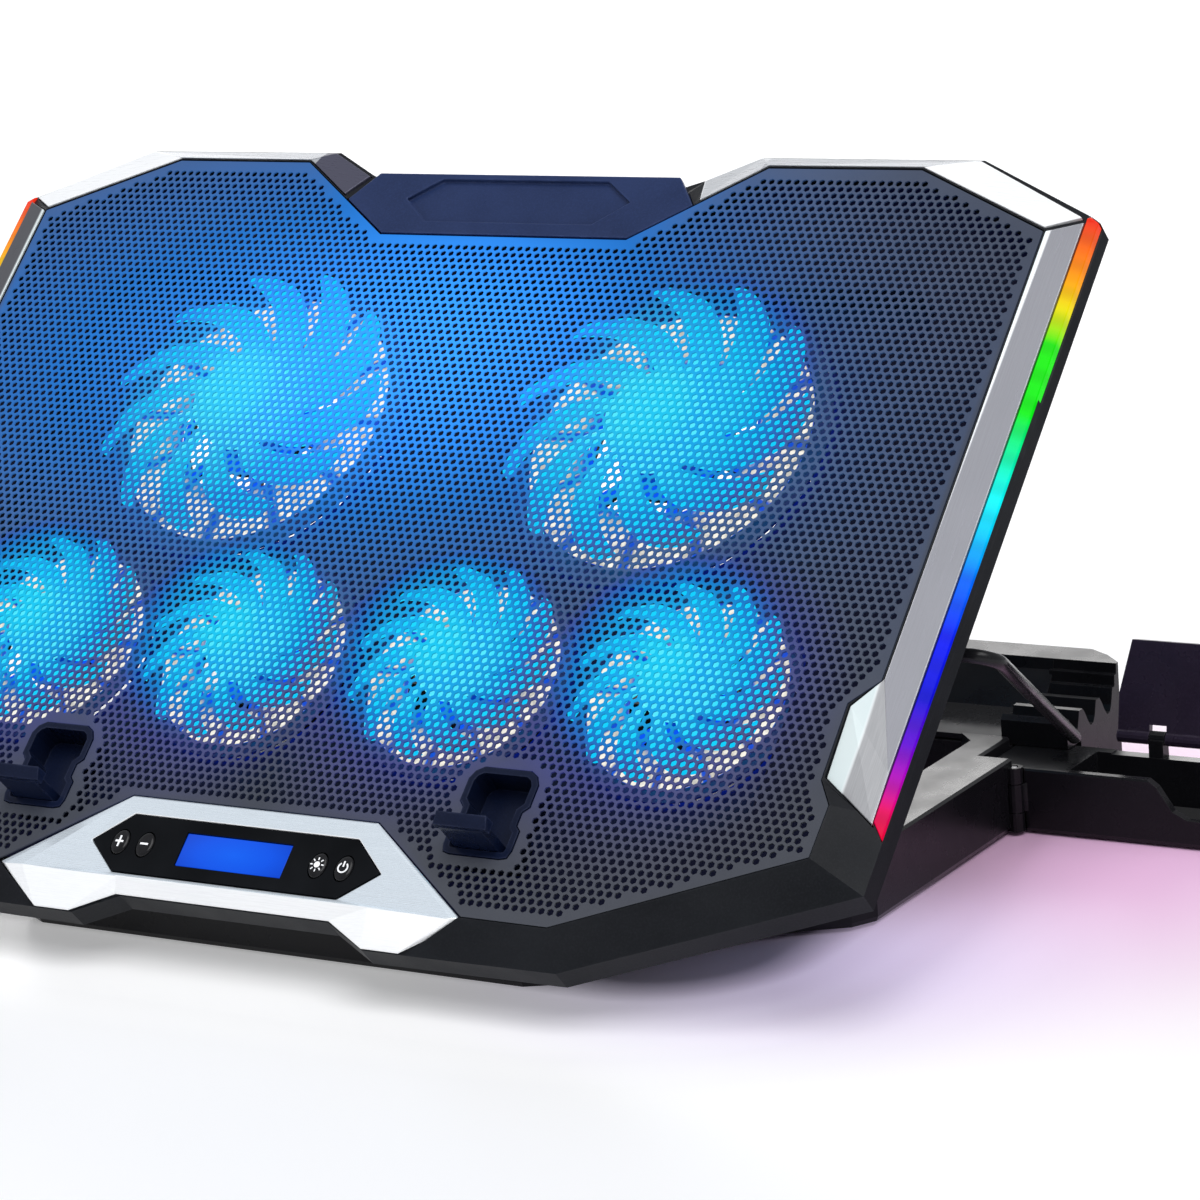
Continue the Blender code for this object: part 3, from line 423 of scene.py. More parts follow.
def steel():
    k = Mat("looks_steel")
    n = k.noise(1.0, 4, 0.6, stretch=(40, 1200, 1200))
    k.link(k.ramp(n, [(0.3, (0.42, 0.43, 0.45)), (0.7, (0.60, 0.61, 0.63))]), k.bsdf.inputs["Base Color"])
    k.bsdf.inputs["Metallic"].default_value = 1.0
    k.link(k.span(n, 0.3, 0.7, 0.2, 0.36), k.bsdf.inputs["Roughness"])
    k.bump(n, 0.1, 0.00005)
    return k


M["steel"] = steel()


def board():
    k = Mat("looks_board")
    n = k.new("ShaderNodeTexVoronoi")
    k.link(k.coord, n.inputs["Vector"])
    n.inputs["Scale"].default_value = 420
    k.link(k.ramp(n.outputs["Distance"], [(0.1, (0.10, 0.13, 0.05)), (0.25, (0.008, 0.06, 0.025)), (0.7, (0.012, 0.085, 0.035))]),
           k.bsdf.inputs["Base Color"])
    k.link(k.span(k.noise(300, 3), 0.3, 0.7, 0.3, 0.5), k.bsdf.inputs["Roughness"])
    k.bump(n.outputs["Distance"], 0.1, 0.0002)
    return k


M["circuit_board"] = board()


def wire():
    k = Mat("looks_wire")
    n = k.noise(500, 2)
    k.link(k.ramp(k.noise(60, 3), [(0.3, (0.006, 0.006, 0.007)), (0.7, (0.011, 0.011, 0.013))]), k.bsdf.inputs["Base Color"])
    k.link(k.span(k.noise(80, 3), 0.3, 0.7, 0.22, 0.30), k.bsdf.inputs["Roughness"])
    k.bsdf.inputs["Specular IOR Level"].default_value = 0.22
    k.bump(n, 0.015, 0.00004)
    return k


M["black_coated_steel"] = wire()


def shell():
    """Black moulding outside; inside the tub the fans' blue light is painted on as emission."""
    k = plastic("looks_shell", (0.0075, 0.008, 0.010), 0.42, spec=0.12, wear=0.16)
    g = k.new("ShaderNodeNewGeometry")
    up = k.vec("DOT_PRODUCT", g.outputs["True Normal"], tuple(DECK.to_3x3() @ Vector((0, 0, 1))))
    inside = k.span(up, 0.15, 0.4)
    painted_fan_light = k.painted_fan_light_mask(1.42, 0.55)
    col = k.ramp(painted_fan_light, [(0.0, (0.001, 0.0015, 0.011)), (0.35, (0.001, 0.003, 0.035)), (0.75, (0.002, 0.02, 0.40)), (1.0, (0.003, 0.09, 0.90))])
    k.link(k.mix(inside, (0, 0, 0), col), k.bsdf.inputs["Emission Color"])
    k.bsdf.inputs["Emission Strength"].default_value = 1.0
    return k


M["shell"] = shell()


def motor_lit():
    k = plastic("looks_motor", (0.03, 0.04, 0.06), 0.4)
    k.bsdf.inputs["Emission Color"].default_value = (0.0, 0.05, 0.6, 1)
    k.bsdf.inputs["Emission Strength"].default_value = 0.6
    return k


M["motor_lit"] = motor_lit()


def blade():
    """Clear blue plastic lit from the hub: the tone attribute falls from the hub to the tips."""
    k = Mat("looks_blade")
    a = k.new("ShaderNodeAttribute", attribute_name="tone")
    tone = a.outputs["Fac"]
    n = k.noise(140, 3)
    t = k.math("ADD", tone, k.span(n, 0.2, 0.8, -0.07, 0.07))
    col = k.ramp(t, [(0.0, (0.003, 0.46, 0.86)), (0.35, (0.004, 0.57, 0.90)), (0.7, (0.012, 0.68, 0.92)), (1.0, (0.09, 0.80, 0.94))])
    k.link(col, k.bsdf.inputs["Emission Color"])
    k.bsdf.inputs["Emission Strength"].default_value = 1.0
    k.bsdf.inputs["Base Color"].default_value = (0.001, 0.06, 0.16, 1)
    k.bsdf.inputs["Specular IOR Level"].default_value = 0.12
    k.bsdf.inputs["Specular Tint"].default_value = (0.15, 0.7, 1.0, 1)
    k.link(k.span(k.noise(300, 3), 0.3, 0.7, 0.12, 0.22), k.bsdf.inputs["Roughness"])
    k.bump(k.noise(700, 2), 0.04, 0.0001)
    return k


M["blade"] = blade()


def mesh_steel():
    """Powder-coated sheet with the fans' blue light painted on it as emission, worked out per vertex in a colour
    attribute.
    """
    k = Mat("looks_mesh")
    n = k.noise(1600, 2)
    slow = k.noise(12, 3)
    paint = k.ramp(slow, [(0.3, (0.044, 0.048, 0.060)), (0.7, (0.060, 0.065, 0.080))])
    k.link(k.span(k.noise(220, 3), 0.3, 0.7, 0.36, 0.52), k.bsdf.inputs["Roughness"])
    a = k.new("ShaderNodeAttribute", attribute_name="painted_fan_light")
    sep = k.new("ShaderNodeSeparateColor")
    k.link(a.outputs["Color"], sep.inputs[0])
    # where the painted light is strong, the paint turns near black and its reflection blue, so the painted glow shows
    lit = k.span(sep.outputs[2], 0.10, 0.60)
    k.link(k.mix(lit, paint, (0.001, 0.004, 0.012)), k.bsdf.inputs["Base Color"])
    k.link(k.math("MULTIPLY_ADD", lit, -0.22, 0.25), k.bsdf.inputs["Specular IOR Level"])
    k.link(k.mix(lit, (1.0, 1.0, 1.0), (0.10, 0.45, 1.0)), k.bsdf.inputs["Specular Tint"])
    k.link(a.outputs["Color"], k.bsdf.inputs["Emission Color"])
    k.bsdf.inputs["Emission Strength"].default_value = 1.0
    k.bump(n, 0.25, 0.00008)
    return k


M["mesh_steel"] = mesh_steel()


def floor_mat():
    """White sweep, with painted pink and lavender light beside the base, and painted light filling the shadow in front
    of it.
    """
    k = Mat("looks_floor")
    # painted coloured light: a pink pool and a lavender pool on the floor beside the base
    d1 = k.vec("LENGTH", k.vec("MULTIPLY", k.vec("SUBTRACT", k.coord, (0.200, 0.160, 0)), (5.0, 4.6, 0)))
    d2 = k.vec("LENGTH", k.vec("MULTIPLY", k.vec("SUBTRACT", k.coord, (0.155, 0.035, 0)), (7.5, 9.0, 0)))
    col = k.mix(k.span(d1, 1.0, 0.05, 0, 0.95, smooth=True), (0.93, 0.93, 0.935), (0.93, 0.55, 0.84))
    col = k.mix(k.span(d2, 1.0, 0.05, 0, 0.80, smooth=True), col, (0.74, 0.64, 0.95))
    k.link(col, k.bsdf.inputs["Base Color"])
    k.link(k.span(k.noise(3, 3), 0.3, 0.7, 0.42, 0.5), k.bsdf.inputs["Roughness"])
    # distance from a rounded box under the base
    q = k.vec("ABSOLUTE", k.vec("MULTIPLY", k.vec("SUBTRACT", k.coord, (0, 0.12, 0)), (1, 1, 0)))
    q = k.vec("MAXIMUM", k.vec("SUBTRACT", q, (0.11, 0.08, 0)), (0, 0, 0))
    d = k.math("MULTIPLY", k.vec("LENGTH", q), 1 / 0.12)
    grey = lambda x: (x, x, x)
    # painted light: a band of emission round the base, lifting the shadow in front of it
    painted_fill = k.ramp(d, [(0.0, grey(0)), (0.29, grey(0)), (0.37, grey(0.18)), (0.44, grey(0.40)), (0.57, grey(0.34)), (0.67, grey(0.18)),
                      (0.83, grey(0.04)), (1.0, grey(0))])
    sep = k.new("ShaderNodeSeparateXYZ")
    k.link(k.coord, sep.inputs[0])
    # only the front half of the floor takes this painted fill
    front = k.span(sep.outputs[1], 0.13, 0.05, smooth=True)
    k.link(k.mix(1.0, painted_fill, col, "MULTIPLY"), k.bsdf.inputs["Emission Color"])
    k.link(front, k.bsdf.inputs["Emission Strength"])
    return k


M["floor"] = floor_mat()


# ======================================================================================
# helpers for pieces
# ======================================================================================
def piece(name, verts, faces, mat, body, nodes=(), smooth=None, deck=True):
    """A mesh piece from points in mm (deck or world), riding on a body."""
    mesh = bpy.data.meshes.new(name)
    if deck:
        verts = [DECK @ (Vector(v) * MM) for v in verts]
    else:
        verts = [Vector(v) * MM for v in verts]
    mesh.from_pydata([tuple(v) for v in verts], [], faces)
    bm = bmesh.new()
    bm.from_mesh(mesh)
    bmesh.ops.recalc_face_normals(bm, faces=bm.faces)
    bm.to_mesh(mesh)
    bm.free()
    mesh.materials.append(M[mat].m)
    obj = bpy.data.objects.new(name, mesh)
    bpy.context.scene.collection.objects.link(obj)
    if smooth:
        mesh.shade_smooth()
        mesh.set_sharp_from_angle(angle=math.radians(smooth))
    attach(obj, body)
    if nodes:
        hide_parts(*nodes)
    return obj


def grid_faces(rows, cols, base=0, wrap=False):
    out = []
    for i in range(rows - 1):
        for j in range(cols if wrap else cols - 1):
            k = (j + 1) % cols
            out.append((base + i * cols + j, base + i * cols + k, base + (i + 1) * cols + k, base + (i + 1) * cols + j))
    return out


def lathe(profile, n, cx=0.0, cy=0.0):
    """Rings from (r, w) pairs, closed on the axis at both ends."""
    verts, faces = [], []
    for r, w in profile:
        for k in range(n):
            a = 2 * math.pi * k / n
            verts.append((cx + r * math.cos(a), cy + r * math.sin(a), w))
    faces += grid_faces(len(profile), n, 0, True)
    faces.append(tuple(range(n))[::-1])
    faces.append(tuple(range((len(profile) - 1) * n, len(profile) * n)))
    return verts, faces


def join(*shapes):
    verts, faces = [], []
    for v, f in shapes:
        base = len(verts)
        verts += list(v)
        faces += [tuple(i + base for i in face) for face in f]
    return verts, faces


def soften(name, width, segments=2, angle=28):
    """Rounds a CAD node's edges: weld its triangles, dissolve flat ones, then bevel."""
    obj = NODES[name]
    w = obj.modifiers.new("weld", "WELD")
    w.merge_threshold = 2e-6
    d = obj.modifiers.new("flat", "DECIMATE")
    d.decimate_type = "DISSOLVE"
    d.angle_limit = math.radians(0.6)
    b = obj.modifiers.new("soft", "BEVEL")
    b.width = width * MM
    b.segments = segments
    b.limit_method = "ANGLE"
    b.angle_limit = math.radians(angle)
    b.use_clamp_overlap = True
    b.miter_outer = "MITER_ARC"
    return obj


def dress(name, mat):
    obj = NODES[name]
    if not obj.material_slots:
        obj.data.materials.append(M[mat].m)
    for s in obj.material_slots:
        s.material = M[mat].m


# ======================================================================================
# CAD nodes that stay, with their finish
# ======================================================================================
FINISH = {
    "top_frame": ("black_plastic", 0.5), "bottom_shell": ("shell", 0.0), "base_frame": ("base_plastic", 0.7),
    "strut_rack": ("base_plastic", 0.45), "phone_arm": ("base_plastic", 0.6), "phone_backrest": ("backrest_plastic", 0.5),
    "rear_port_panel": ("tab_plastic", 0.35), "front_bezel": ("bezel_silver", 0.25), "control_panel": ("gloss_black", 0.2),
    "lcd_screen": ("blue_lcd", 0.1), "control_board": ("circuit_board", 0.2),
    "tray_pad": ("rubber", 0.4), "arm_foot": ("rubber", 0.2), "arm_pin": ("steel", 0.2), "backrest_pin": ("steel", 0.15),
    "front_foot_strip": ("rubber", 0.4),
}
for side in ("left", "right"):
    FINISH.update({
        "side_trim_" + side: ("side_silver", 0.3), "rear_corner_trim_" + side: ("corner_white", 0.3),
        "light_bar_" + side: ("light_diffuser", 0.3), "led_strip_" + side: ("circuit_board", 0.15),
        "usb_socket_" + side: ("steel", 0.2), "tilt_pin_" + side: ("steel", 0.3),
        "side_foot_" + side: ("rubber", 0.4), "rear_foot_" + side: ("rubber", 0.4),
        "stop_pocket_" + side: ("stop_plastic", 0.3), "laptop_stop_" + side: ("stop_plastic", 0.5),
        "deck_knuckle_" + side: ("black_plastic", 0.4), "strut_lug_" + side: ("black_plastic", 0.4),
    })
for fan in FANS:
    FINISH[fan + "_motor"] = ("motor_lit", 0.4)
for name, (mat, width) in FINISH.items():
    dress(name, mat)
    if width:
        soften(name, width)

# ======================================================================================
# perforated steel sheet
# ======================================================================================
MESH_HALF = [(0, 27.7), (45.5, 27.7), (85.5, 0.4), (114.7, 0.4), (188.1, 31.7), (188.4, 48.6), (183.3, 56.3), (182.9, 81.9),
             (190.9, 90.2), (190.9, 250.4), (142.8, 272.9), (88.7, 272.8), (47.3, 243.4), (0, 243.4)]
POCKET_HALF = [(8.6, 20.0), (10.9, 20.6), (11.7, 23.0), (11.7, 29.6), (10.1, 31.2), (10.1, 35.8), (12.0, 37.8), (12.0, 45.2),
               (10.6, 47.9), (8.0, 49.5)]


def mirrored(half):
    return list(half) + [(-x, y) for x, y in reversed(half) if abs(x) > 1e-6]


def grown(loop, d):
    """A counter-clockwise outline moved outwards by d."""
    n, out = len(loop), []
    for i in range(n):
        p0, p1, p2 = (Vector(loop[(i + k) % n]) for k in (-1, 0, 1))
        a, b = (p1 - p0).normalized(), (p2 - p1).normalized()
        m = Vector((a.y, -a.x)) + Vector((b.y, -b.x))
        out.append(tuple(p1 + m / m.dot(m) * 2 * d))
    return out


outline = mirrored(MESH_HALF)
pocket = grown([(82.0 + x, y) for x, y in POCKET_HALF] + [(82.0 - x, y) for x, y in reversed(POCKET_HALF)], 0.3)
pockets = [pocket, [(-x, y) for x, y in reversed(pocket)]]


def inside(points, loop):
    x, y = points[:, 0], points[:, 1]
    hit = np.zeros(len(points), bool)
    for (x0, y0), (x1, y1) in zip(loop, loop[1:] + loop[:1]):
        if y0 == y1:
            continue
        cross = ((y0 > y) != (y1 > y)) & (x < (x1 - x0) * (y - y0) / (y1 - y0) + x0)
        hit ^= cross
    return hit


def clearance(points, loop):
    best = np.full(len(points), 1e9)
    for a, b in zip(loop, loop[1:] + loop[:1]):
        a, b = np.array(a), np.array(b)
        d = b - a
        t = np.clip(((points - a) @ d) / (d @ d), 0, 1)
        best = np.minimum(best, np.linalg.norm(points - a - t[:, None] * d, axis=1))
    return best


PITCH, HOLE = 3.0, 1.19          # hole: corner radius of the punched hexagon
SHEET_TOP, SHEET_LOW = -0.1, -0.7
ROW = PITCH * math.sqrt(3) / 2
cells = [(2 * i + (j & 1), 3 * j) for j in range(-2, 110) for i in range(-66, 67)]
centre = np.array([(a * PITCH / 2, b * PITCH / (2 * math.sqrt(3))) for a, b in cells])
good = inside(centre, outline) & (clearance(centre, outline) > 3.1)
for loop in pockets:
    good &= ~inside(centre, loop) & (clearance(centre, loop) > 2.7)
cells = [c for c, g in zip(cells, good) if g]
centre = centre[good]

CORNERS = [(1, 1), (0, 2), (-1, 1), (-1, -1), (0, -2), (1, -1)]
points, index = [], {}


def lattice(a, b):
    if (a, b) not in index:
        index[(a, b)] = len(points)
        points.append((a * PITCH / 2, b * PITCH / (2 * math.sqrt(3))))
    return index[(a, b)]


polys, edge_use = [], {}
for (a, b), (cx, cy) in zip(cells, centre):
    rim = [lattice(a + da, b + db) for da, db in CORNERS]
    hole = []
    for k in range(6):
        t = math.radians(30 + 60 * k)
        hole.append(len(points))
        points.append((cx + HOLE * math.cos(t), cy + HOLE * math.sin(t)))
    for k in range(6):
        j = (k + 1) % 6
        polys.append((rim[k], rim[j], hole[j], hole[k]))
        e = (min(rim[k], rim[j]), max(rim[k], rim[j]))
        edge_use[e] = edge_use.get(e, 0) + 1
open_edges = [e for e, n in edge_use.items() if n == 1]
border_ids = sorted({i for e in open_edges for i in e})
local = {g: i for i, g in enumerate(border_ids)}
flat_pts = [Vector(points[g]) for g in border_ids]
flat_edges = [(local[a], local[b]) for a, b in open_edges]
for loop in [outline] + pockets:
    start = len(flat_pts)
    flat_pts += [Vector(p) for p in loop]
    flat_edges += [(start + i, start + (i + 1) % len(loop)) for i in range(len(loop))]
verts2, _, faces2, orig, _, _ = delaunay_2d_cdt(flat_pts, flat_edges, [], 0, 1e-6)
to_global = []
for i, v in enumerate(verts2):
    source = [o for o in orig[i] if o < len(border_ids)]
    if source:
        to_global.append(border_ids[source[0]])
    else:
        to_global.append(len(points))
        points.append((v.x, v.y))
tri_mid = np.array([(sum(verts2[i].x for i in f) / len(f), sum(verts2[i].y for i in f) / len(f)) for f in faces2])
keep = inside(tri_mid, outline)
for loop in pockets:
    keep &= ~inside(tri_mid, loop)
cell_set = set(cells)


def in_cell(x, y):
    b = y * (2 * math.sqrt(3)) / PITCH
    best = None
    for j in (math.floor(b / 3), math.floor(b / 3) + 1):
        off = j & 1
        i = round((x / (PITCH / 2) - off) / 2)
        ca, cb = 2 * i + off, 3 * j
        d = (x - ca * PITCH / 2) ** 2 + (y - cb * PITCH / (2 * math.sqrt(3))) ** 2
        if best is None or d < best[0]:
            best = (d, (ca, cb))
    return best[1] in cell_set


for f, ok, (x, y) in zip(faces2, keep, tri_mid):
    if ok and not in_cell(x, y):
        polys.append(tuple(to_global[i] for i in f))

pts = np.array(points)


def area2(face):
    q = pts[list(face)]
    return np.sum(q[:, 0] * np.roll(q[:, 1], -1) - np.roll(q[:, 0], -1) * q[:, 1])


# painted light on the sheet: a blue haze over the middle and left, and a bright painted pool round each fan
def painted_fan_light_at(xy):
    x, y = xy[:, 0], xy[:, 1]
    haze = 1.0 * np.exp(-(((x + 70) / 150) ** 2 + ((y - 195) / 80) ** 2)) + 0.85 * np.exp(-((x / 75) ** 2 + ((y - 205) / 55) ** 2))
    haze += 0.16 * np.exp(-(((x - 50) / 130) ** 2 + ((y - 150) / 60) ** 2))
    col = haze[:, None] * np.array([0.026, 0.235, 0.80])
    for u, v, r in FANS.values():
        d = np.hypot(x - u, y - v) / r
        for reach, power, tone in ((1.36, 3, (0.012, 0.022, 0.32)), (1.05, 6, (0.002, 0.120, 0.76)), (0.90, 5, (0.001, 0.40, 0.84)),
                                   (0.50, 3, (0.006, 0.58, 0.90))):
            col = np.maximum(col, np.exp(-(d / reach) ** power)[:, None] * np.array(tone))
    return col


parts3 = {"left": [], "middle": [], "right": []}
for face in polys:
    x = pts[list(face), 0].mean()
    # whole columns of cells stay together: the cut follows the face, above and below alike
    parts3["left" if x < -66.0 else "right" if x > 66.0 else "middle"].append(face if area2(face) > 0 else face[::-1])
for word, group in parts3.items():
    used = sorted({i for f in group for i in f})
    to = {g: i for i, g in enumerate(used)}
    n = len(used)
    xy = pts[used]
    verts = [(x, y, SHEET_TOP) for x, y in xy] + [(x, y, SHEET_LOW) for x, y in xy]
    top = [tuple(to[i] for i in f) for f in group]
    count = {}
    for f in top:
        for i in range(len(f)):
            a, b = f[i], f[(i + 1) % len(f)]
            count[(a, b)] = 1
    walls = [(b, a, a + n, b + n) for (a, b) in count if (b, a) not in count]
    low = [tuple(i + n for i in f[::-1]) for f in top]
    mesh = bpy.data.meshes.new("perforated_sheet_" + word)
    mesh.from_pydata([tuple(DECK @ (Vector(v) * MM)) for v in verts], [], top + walls + low)
    mesh.materials.append(M["mesh_steel"].m)
    painted_fan_light = mesh.attributes.new("painted_fan_light", "FLOAT_COLOR", "POINT")
    tint = painted_fan_light_at(np.vstack([xy, xy]))
    # the underside takes the same painted light at 0.4
    tint[n:] *= 0.4
    painted_fan_light.data.foreach_set("color", np.hstack([tint, np.ones((2 * n, 1))]).astype(np.float32).ravel())
    obj = bpy.data.objects.new("perforated_sheet_" + word, mesh)
    bpy.context.scene.collection.objects.link(obj)
    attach(obj, "deck")
    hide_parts("mesh_panel")

# ======================================================================================
# fan rotors
# ======================================================================================
BLADES = 11
HALF = ((0.0, 0.20), (0.5, 0.19), (0.85, 0.155), (1.0, 0.10))


def half_width(t):
    return float(np.interp(t, [a for a, _ in HALF], [b for _, b in HALF]))


for name, (cu, cv, r) in FANS.items():
    big = r > 40
    hub, hub_top = (17.0, -4.0) if big else (12.0, -7.5)
    blade_top, blade_low = (-6.0, -11.5) if big else (-9.0, -13.5)
    low = blade_low - 1.5
    shapes = [lathe([(hub - 0.6, low), (hub, low + 0.6), (hub, hub_top - 1.6), (hub - 0.35, hub_top - 0.7), (hub - 1.2, hub_top - 0.15),
                     (hub - 2.4, hub_top), (hub - 4.2, hub_top), (hub - 4.5, hub_top - 0.25), (hub - 5.0, hub_top - 0.25),
                     (hub - 5.3, hub_top), (1.2, hub_top)], 48)]
    tones = [1.0] * len(shapes[0][0])
    rows, cols = 15, 9
    for b in range(BLADES):
        base = 2 * math.pi * b / BLADES
        upper, lower, tone = [], [], []
        for i in range(rows):
            t = i / (rows - 1)
            rad = (hub - 0.8) + (r - hub + 0.8) * t
            turn = base + 0.72 * max(0.0, t) ** 1.3
            half = half_width(t)
            for j in range(cols):
                s = j / (cols - 1)
                # round the two tip corners
                pull = 0.0
                if t > 0.9:
                    pull = (abs(2 * s - 1) ** 3) * (t - 0.9) / 0.1 * 1.6
                ang = turn + half * (2 * s - 1)
                rr = rad - pull
                drop = (blade_top - blade_low - 1.5) * (1 - s) * (0.55 + 0.45 * (1 - t))
                camber = 0.7 * math.sin(math.pi * s)
                w = blade_top - 0.7 - drop + camber
                upper.append((rr * math.cos(ang), rr * math.sin(ang), w))
                thick = 1.1 if 0 < j < cols - 1 and i < rows - 1 else 0.5
                lower.append((rr * math.cos(ang), rr * math.sin(ang), w - thick))
                tone.append(1.0 - 0.62 * t - 0.10 * abs(2 * s - 1))
        n = rows * cols
        faces = grid_faces(rows, cols) + [tuple(i + n for i in f[::-1]) for f in grid_faces(rows, cols)]
        edge = [j for j in range(cols)] + [(i + 1) * cols - 1 for i in range(1, rows)]
        edge += [(rows - 1) * cols + j for j in range(cols - 2, -1, -1)] + [i * cols for i in range(rows - 2, 0, -1)]
        for p, q in zip(edge, edge[1:] + edge[:1]):
            faces.append((q, p, p + n, q + n))
        shapes.append((upper + lower, faces))
        tones += tone + [x * 0.8 for x in tone]
    verts, faces = join(*shapes)
    verts = [(x + cu, y + cv, w) for x, y, w in verts]
    obj = piece(name + "_wheel", verts, faces, "blade", name, [name + "_rotor"], smooth=35)
    att = obj.data.attributes.new("tone", "FLOAT", "POINT")
    att.data.foreach_set("value", np.array(tones, np.float32))

# ======================================================================================
# emissive ring under each fan, painted light: warm lit segments between dark ribs
# ======================================================================================
def led_ring():
    """A clear ring on the tub floor that glows as painted light; short lit segments alternate with dark ribs."""
    k = Mat("looks_led_ring")
    a = k.new("ShaderNodeAttribute", attribute_name="lit")
    n = k.noise(260, 2)
    on = k.math("MULTIPLY", a.outputs["Fac"], k.span(n, 0.35, 0.55, 0.62, 1.0))
    k.link(k.ramp(on, [(0.0, (0.001, 0.004, 0.06)), (0.08, (0.001, 0.045, 0.58)), (0.30, (0.02, 0.08, 0.52)), (0.55, (0.50, 0.46, 0.38)), (1.0, (1.0, 0.94, 0.80))]), k.bsdf.inputs["Emission Color"])
    k.bsdf.inputs["Emission Strength"].default_value = 1.0
    k.bsdf.inputs["Base Color"].default_value = (0.02, 0.03, 0.06, 1)
    k.link(k.span(n, 0.3, 0.7, 0.2, 0.35), k.bsdf.inputs["Roughness"])
    return k


M["led_ring"] = led_ring()
for name, (cu, cv, r) in FANS.items():
    inner, outer = (29.0, 54.0) if r > 40 else (19.5, 36.5)
    edge = outer * 0.885
    n = 144
    verts, lit = [], []
    for k in range(n):
        a = 2 * math.pi * k / n
        rib = (k % 12) < 2
        for rr, w, e in ((inner, -19.3, 0.14), (inner + 1.5, -18.8, 0.45), (inner * 0.6 + edge * 0.4, -18.5, 0.9), (edge, -18.6, 1.0),
                         (edge + 0.5, -18.6, 0.0), (outer, -19.3, 0.0), (outer, -20.2, 0.0), (inner, -20.2, 0.0)):
            verts.append((cu + rr * math.cos(a), cv + rr * math.sin(a), w))
            lit.append(min(e, 0.14) if rib else e)
    faces = []
    for k in range(n):
        p, q = 8 * k, 8 * ((k + 1) % n)
        for i in range(8):
            j = (i + 1) % 8
            faces.append((p + i, p + j, q + j, q + i))
    # three short posts carry the ring from the tub floor
    posts = []
    for t in range(3):
        a = 2 * math.pi * t / 3 + 0.3 + math.pi / 6
        posts.append(lathe([(1.6, -22.9), (1.2, -22.0), (1.2, -19.8)], 12, cu + (inner + outer) / 2 * math.cos(a), cv + (inner + outer) / 2 * math.sin(a)))
    verts, faces = join((verts, faces), *posts)
    lit += [0.0] * (len(verts) - len(lit))
    obj = piece(name + "_led_ring", verts, faces, "led_ring", "deck", (), smooth=40)
    att = obj.data.attributes.new("lit", "FLOAT", "POINT")
    att.data.foreach_set("value", np.array(lit, np.float32))

# ======================================================================================
# keys: domes with generic icons
# ======================================================================================
KEYS = {"key_minus": -33.0, "key_plus": -42.4, "key_light": 31.0, "key_power": 40.3}
KEY_V = 10.9


def bar(x0, x1, y0, y1, w0, w1):
    v = [(x, y, w) for w in (w0, w1) for x, y in ((x0, y0), (x1, y0), (x1, y1), (x0, y1))]
    return v, [(3, 2, 1, 0), (4, 5, 6, 7), (0, 1, 5, 4), (1, 2, 6, 5), (2, 3, 7, 6), (3, 0, 4, 7)]


def turned(shape, angle, cx=0.0, cy=0.0):
    c, s = math.cos(angle), math.sin(angle)
    return [(cx + x * c - y * s, cy + x * s + y * c, w) for x, y, w in shape[0]], shape[1]


def arc_band(r0, r1, a0, a1, w0, w1, n=28):
    verts, faces = [], []
    full = abs(a1 - a0 - 2 * math.pi) < 1e-6
    steps = n if full else n + 1
    for k in range(steps):
        a = a0 + (a1 - a0) * k / n
        for rr, w in ((r0, w0), (r1, w0), (r1, w1), (r0, w1)):
            verts.append((rr * math.cos(a), rr * math.sin(a), w))
    faces = []
    for k in range(n):
        p, q = 4 * k, 4 * ((k + 1) % steps)
        for i in range(4):
            j = (i + 1) % 4
            faces.append((p + i, p + j, q + j, q + i))
    if not full:
        faces += [(0, 1, 2, 3), (4 * n + 3, 4 * n + 2, 4 * n + 1, 4 * n)]
    return verts, faces


TOPW = 0.98
for name, u in KEYS.items():
    n = 40
    prof = [(-3.8, 0.97), (-3.6, 1.0), (0.10, 1.0), (0.35, 0.985), (0.55, 0.95), (0.75, 0.87), (0.88, 0.76), (0.95, 0.60), (TOPW, 0.38)]
    verts, faces = [], []
    for w, k in prof:
        verts += [(u + 3.0 * k * math.cos(2 * math.pi * i / n), KEY_V + 4.2 * k * math.sin(2 * math.pi * i / n), w) for i in range(n)]
    faces += grid_faces(len(prof), n, 0, True)
    faces += [tuple(range(n))[::-1], tuple(range((len(prof) - 1) * n, len(prof) * n))]
    piece(name + "_cap", verts, faces, "key_black", name, [name], smooth=40)
    lo, hi = TOPW - 0.35, TOPW + 0.05
    if name == "key_minus":
        shape = bar(-1.45, 1.45, -0.33, 0.33, lo, hi)
    elif name == "key_plus":
        shape = join(bar(-1.45, 1.45, -0.33, 0.33, lo, hi), bar(-0.33, 0.33, 0.33, 1.9, lo, hi), bar(-0.33, 0.33, -1.9, -0.33, lo, hi))
    elif name == "key_light":
        shape = join(*([lathe([(1.02, lo), (1.02, hi)], 24)] +
                       [turned(([(x + 1.95, y, w) for x, y, w in bar(-0.42, 0.42, -0.2, 0.2, lo, hi)[0]], bar(0, 0, 0, 0, 0, 0)[1]),
                               math.pi / 4 * k) for k in range(8)]))
    else:
        shape = join(arc_band(1.35, 1.85, math.radians(125), math.radians(415), lo, hi), bar(-0.26, 0.26, 0.25, 2.15, lo, hi))
    piece(name + "_icon", [(x + u, y + KEY_V, w) for x, y, w in shape[0]], shape[1], "icon", name, ())

# ======================================================================================
# strut: one smooth bent rod
# ======================================================================================
foot = DECK_INV @ Vector((175.5 * MM, 186.0 * MM, 27.25 * MM)) / MM
PIVOT = Vector((0, 121.5, -35.0))
corners = [Vector((-foot.x, foot.y, foot.z)), Vector((-203.6, PIVOT.y, PIVOT.z)), Vector((203.6, PIVOT.y, PIVOT.z)), Vector(foot)]


